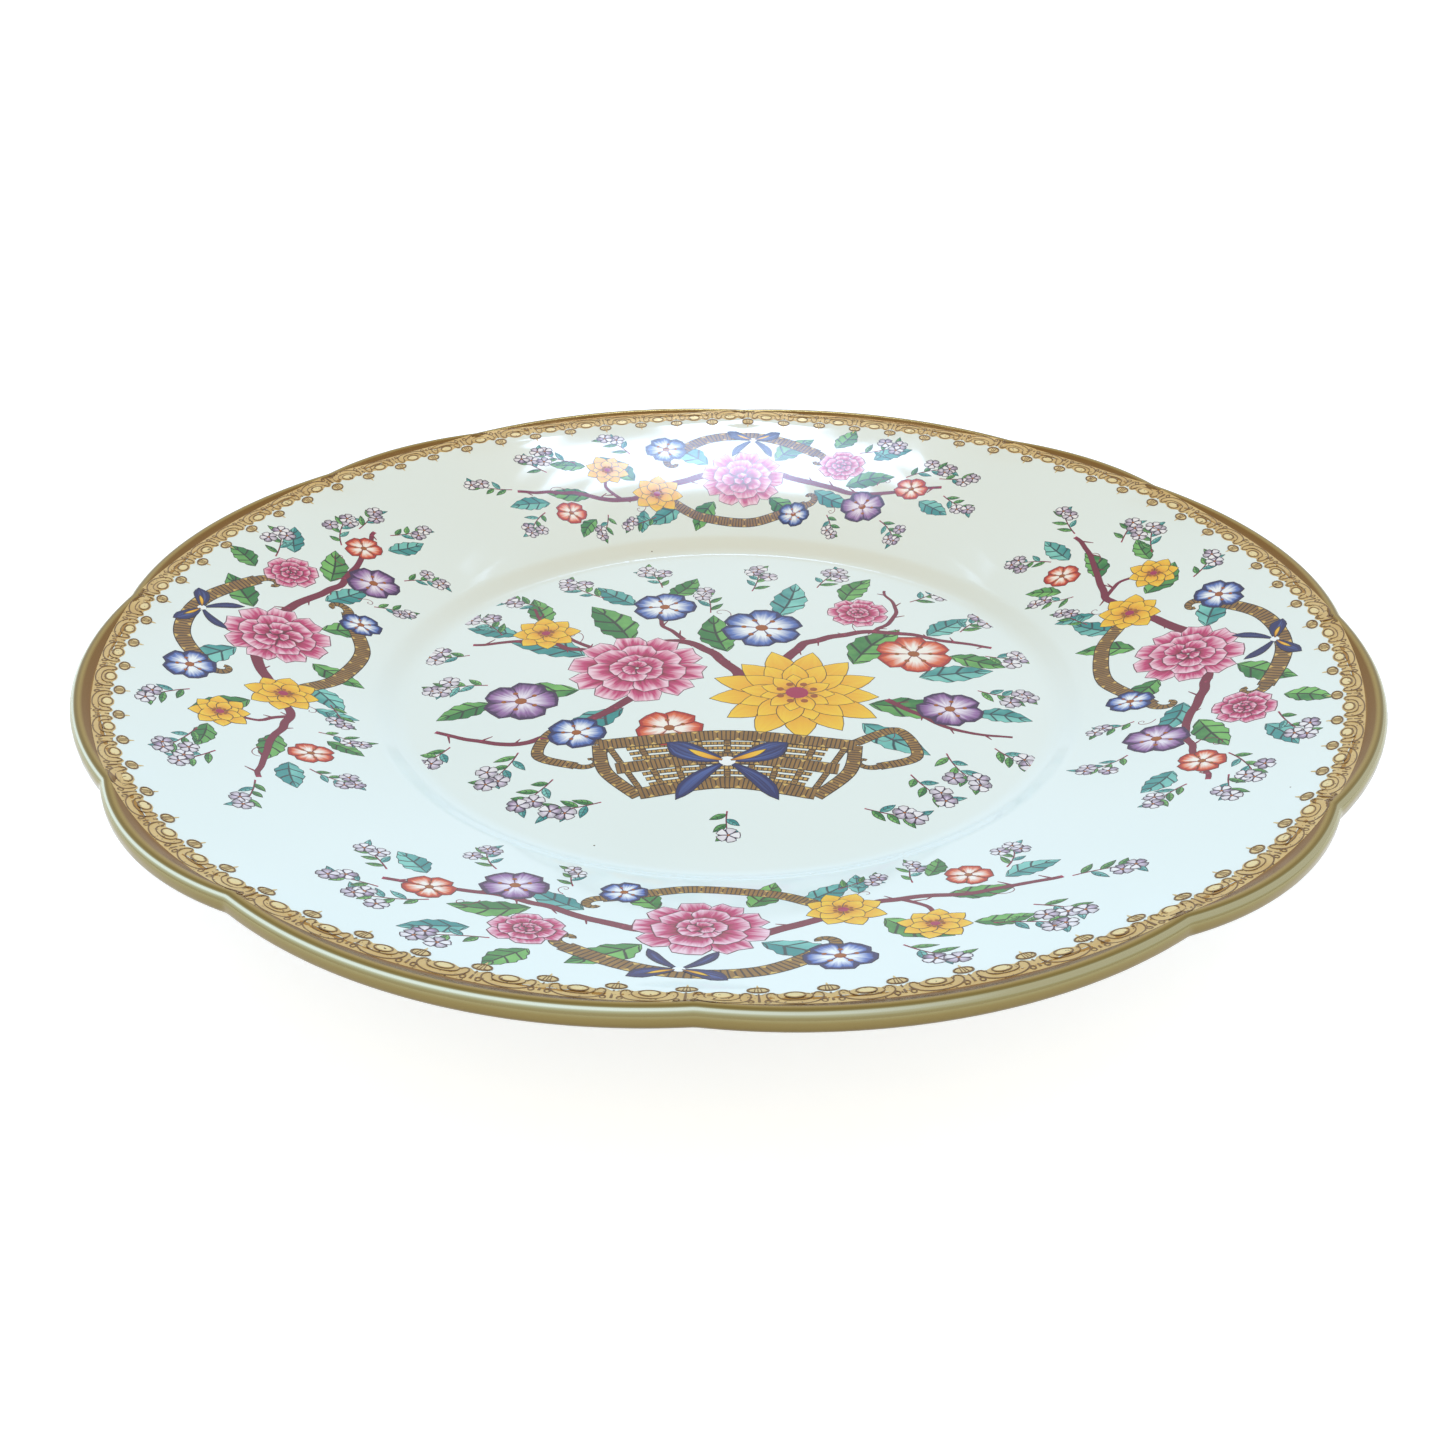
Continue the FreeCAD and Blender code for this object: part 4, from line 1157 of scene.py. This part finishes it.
def paint_well(painting):
    """The well's bouquet in its woven basket."""
    painting.branch([(-58, 19), (-44, 21), (-30, 16), (-10, 21), (0, 10), (4, 0)], 1.0, 2.8)
    painting.branch([(60, 18), (46, 23), (34, 26), (18, 20), (10, 6)], 1.0, 2.8)
    painting.branch([(-60, -20), (-50, -24), (-40, -24), (-26, -12), (-16, 0)], 1.0, 2.6)
    painting.branch([(-10, 22), (-16, 32), (-12, 46)], 1.3, 0.7)
    painting.branch([(34, 26), (40, 36), (38, 48)], 1.3, 0.7)
    painting.branch([(34, -6), (46, -18), (58, -22)], 1.6, 0.7)
    painting.branch([(-30, 16), (-44, 32), (-46, 38)], 1.3, 0.7)
    painting.basket()
    for side in (-1, 1):
        painting.line("brown_enamel", [(26 * side, -25), (24 * side, -35), (17 * side, -44)],
                      3.0, 3.0, 0.03, 1.0)
        painting.scroll([(26 * side, -24), (35 * side, -19), (38 * side, -29), (30 * side, -33)],
                        2.6, side)
    for along, out, heading, length, width in (
            (-22, 21, 120, 21, 9), (-32, -2, 195, 20, 8), (28, 10, 55, 21, 9), (30, -8, 345, 20, 8),
            (0, 16, 100, 19, 8), (28, 42, 60, 15, 6.5), (-42, 30, 110, 14, 6), (50, 14, 335, 13, 6),
            (-50, -8, 215, 13, 6), (-14, 44, 60, 13, 6)):
        painting.leaf("green_enamel", (along, out), heading, length, width)
    for along, out, heading, length, width in (
            (12, 34, 75, 19, 8), (-32, 14, 160, 19, 8), (42, 4, 10, 17, 7), (28, -16, 315, 18, 7),
            (-22, -10, 230, 18, 7), (-48, 24, 165, 13, 5.5), (46, 24, 40, 14, 6),
            (-22, 40, 135, 14, 6), (52, -12, 345, 12, 5.5)):
        painting.leaf("turquoise_enamel", (along, out), heading, length, width)
    for along, out, heading, length, leaves, curve, flowers in (
            (-52, 24, 130, 13, 8, 30, 3), (-58, 14, 190, 9, 6, -30, 3), (-52, 0, 190, 12, 7, 30, 3),
            (-56, -26, 235, 9, 6, -20, 2), (-42, -28, 250, 13, 7, -25, 3),
            (58, 14, 350, 8, 5, 25, 3), (54, 26, 50, 11, 7, -25, 3), (54, -2, 340, 11, 7, 30, 3),
            (54, -26, 310, 9, 6, 25, 2), (44, -28, 290, 13, 7, 30, 3),
            (-16, 50, 110, 11, 7, 25, 3), (-30, 44, 140, 13, 7, -25, 3), (6, 48, 80, 13, 7, 20, 3),
            (22, 50, 60, 11, 6, -25, 3), (44, 42, 40, 11, 6, 25, 3), (-4, 36, 95, 12, 6, 15, 2),
            (-44, 38, 150, 10, 6, 20, 2), (36, -36, 300, 11, 6, 15, 2),
            (-34, -38, 240, 11, 6, -15, 2), (-24, -46, 200, 10, 6, -15, 2),
            (26, -48, 340, 10, 6, 15, 2), (0, -49, 270, 8, 5, 15, 1)):
        painting.sprig((along, out), heading, length, leaves, curve, 4.2, flowers)
    for along, out, heading, length, turns in (
            (-34, 20, 60, 16, 1.3), (30, 26, 120, 15, -1.2), (-34, -16, 250, 15, 1.2),
            (34, -18, 290, 15, -1.2), (0, 32, 60, 14, 1.1)):
        painting.tendril((along, out), heading, length, turns)
    painting.blossom("blue_enamel", (8, 28), 10, 6)
    painting.blossom("purple_enamel", (-44, -7), 8.5, 5)
    painting.blossom("iron_red_enamel", (42, 15), 9, 6)
    painting.rose((31, 36), 8, 7)
    painting.daisy((-42, 25), 8, 8)
    painting.blossom("blue_enamel", (-15, 39), 8, 5)
    painting.blossom("iron_red_enamel", (-12, -18), 7.5, 5)
    painting.blossom("purple_enamel", (47, -10), 7.5, 5)
    painting.blossom("blue_enamel", (-31, -20), 6.5, 5)
    painting.rose((-20, 8), 16.5, 10)
    painting.daisy((15, -3), 19.5, 13)
    painting.bow((0, -31), 0, 15)


def enamel_materials():
    """The finish of each enamel."""
    return {
        "rose_enamel": petal_material("rose enamel", "#86002F", "#C93272", "#F8CEDD", "#5A1030",
                                      0.22, 1.2, stops=(0.05, 0.52)),
        "yellow_enamel": petal_material("golden yellow enamel", "#A2540A", "#F2AC12", "#FCD02C",
                                        "#4A2A08", 0.22, 0.5, stops=(0.06, 0.42)),
        "purple_enamel": petal_material("violet enamel", "#F1E6F3", "#9A6BA8", "#3A1450",
                                        "#331A3C", 0.2, 0.7, 0.35, stops=(0.3, 0.72)),
        "blue_enamel": petal_material("cobalt enamel", "#F6F8FB", "#5474C0", "#0C1C60", "#0C1238",
                                      0.22, 0.5, 0.4, stops=(0.42, 0.76)),
        "iron_red_enamel": petal_material("iron red enamel", "#FCF3EA", "#E66A3C", "#B4200A",
                                          "#5E180C", 0.22, 0.5, 0.4, stops=(0.42, 0.76)),
        "green_enamel": leaf_material("green enamel", "#7EC462", "#1E7838", "#10341F"),
        "turquoise_enamel": leaf_material("turquoise enamel", "#84D2C6", "#1F8C8C", "#0F3E46"),
        "plum_enamel": petal_material("plum enamel", "#A81E50", "#8E143E", "#780E36", "#4E0A26",
                                      0.06, 0.4),
        "brown_enamel": band_material("brown enamel", "#A87C34", "#74501E", "#D0A248",
                                       "#2E1B0C", 0.9),
    }


def paint_plate():
    """Paint the well and the four brim sprays, and make a piece of each enamel."""
    finishes = enamel_materials()
    reliefs = {tint: Relief() for tint in finishes}
    paint_well(Painting(well_place, reliefs, 7))
    for quarter in range(4):
        paint_brim(Painting(brim_place(quarter), reliefs, 20 + quarter))
    for tint, relief in reliefs.items():
        mesh = relief.mesh(f"painted_{tint}")
        mesh.materials.append(finishes[tint])
        face_outwards(mesh)
        piece = in_scene(mesh.name, mesh)
        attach(piece, "root")
        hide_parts(tint)


paint_plate()


# ---------------------------------------------------------------- floor, light, camera

def make_floor():
    """A wide white floor at the foot's height."""
    mesh = bpy.data.meshes.new("floor")
    reach = 3.0
    mesh.from_pydata([(-reach, -reach, 0), (reach, -reach, 0), (reach, reach, 0),
                      (-reach, reach, 0)], [], [(0, 1, 2, 3)])
    mesh.materials.append(floor_material())
    floor = in_scene("floor", mesh)


def make_world():
    """An even pale room, a little warm in front and cool and bright behind."""
    world = bpy.data.worlds.new("pale room")
    bpy.context.scene.world = world
    world.use_nodes = True
    tree = world.node_tree
    tree.nodes.clear()
    direction = add(tree, "ShaderNodeTexCoord").outputs["Generated"]
    parts = add(tree, "ShaderNodeSeparateXYZ", (direction,))
    back = add(tree, RANGE, (parts.outputs["Y"], -1.0, 1.0))
    tone = add(tree, MIX, (back, colour("#FBE0AA"), colour("#FFFFF8")), data_type="RGBA")
    # Cool daylight comes in softly from behind, some 25 degrees up.
    facing = add(tree, "ShaderNodeVectorMath", (direction, (0.0, 0.906, 0.423)),
                 operation="DOT_PRODUCT")
    ahead = add(tree, MATH, (facing, 0.0), operation="MAXIMUM")
    glow = add(tree, MATH, (ahead, 3.0), operation="POWER")
    daylight = add(tree, "ShaderNodeVectorMath", ((0.40, 1.40, 2.45), glow), operation="MULTIPLY")
    lit = add(tree, "ShaderNodeVectorMath", (tone, daylight), operation="ADD")
    room = add(tree, "ShaderNodeBackground", (lit, 0.83))
    white = add(tree, "ShaderNodeBackground", ((1, 1, 1, 1), 1.0))
    mixed = add(tree, "ShaderNodeMixShader", (white_rays(tree), room, white))
    add(tree, "ShaderNodeOutputWorld", {"Surface": mixed})


def make_lamp(name, place, width, depth, watts, tint, spread):
    """A soft flat lamp that faces down and lights no further than its spread."""
    lamp = bpy.data.lights.new(name, "AREA")
    lamp.shape = "RECTANGLE"
    lamp.size = width
    lamp.size_y = depth
    lamp.energy = watts
    lamp.color = colour(tint)[:3]
    lamp.spread = math.radians(spread)
    in_scene(name, lamp).location = place


def make_camera():
    """The camera, low in front of the plate."""
    camera = bpy.data.cameras.new("camera")
    camera.lens = 37.27
    camera.sensor_width = 36.0
    camera.clip_start = 0.01
    holder = in_scene("camera", camera)
    holder.location = (0.0, -0.2844, 0.1637)
    aim = Vector((-0.0010, -0.0158, 0.007))
    holder.rotation_euler = (aim - holder.location).to_track_quat("-Z", "Y").to_euler()
    bpy.context.scene.camera = holder


make_floor()
make_world()
# The window's lit part narrows towards its top, and leans towards the plate. Each row of it is a
# lamp of its own, with a power that goes with its width.
LIGHT_BACK, LIGHT_HEIGHT = 0.2488, 0.2240
LIGHT_LEAN, LIGHT_RISE = 0.818, 0.575
LIGHT_ROW = 0.0075
LIGHT_POWER = 0.28
for row, width in ((-0.0065, 0.086), (-0.0005, 0.070), (0.005, 0.050), (0.010, 0.026)):
    place = (0.0, LIGHT_BACK - LIGHT_LEAN * row, LIGHT_HEIGHT + LIGHT_RISE * row)
    make_lamp("high window", place, width, LIGHT_ROW, LIGHT_POWER * width, "#B4CCF0", 88.0)
make_camera()
bpy.context.scene.view_settings.view_transform = "Standard"
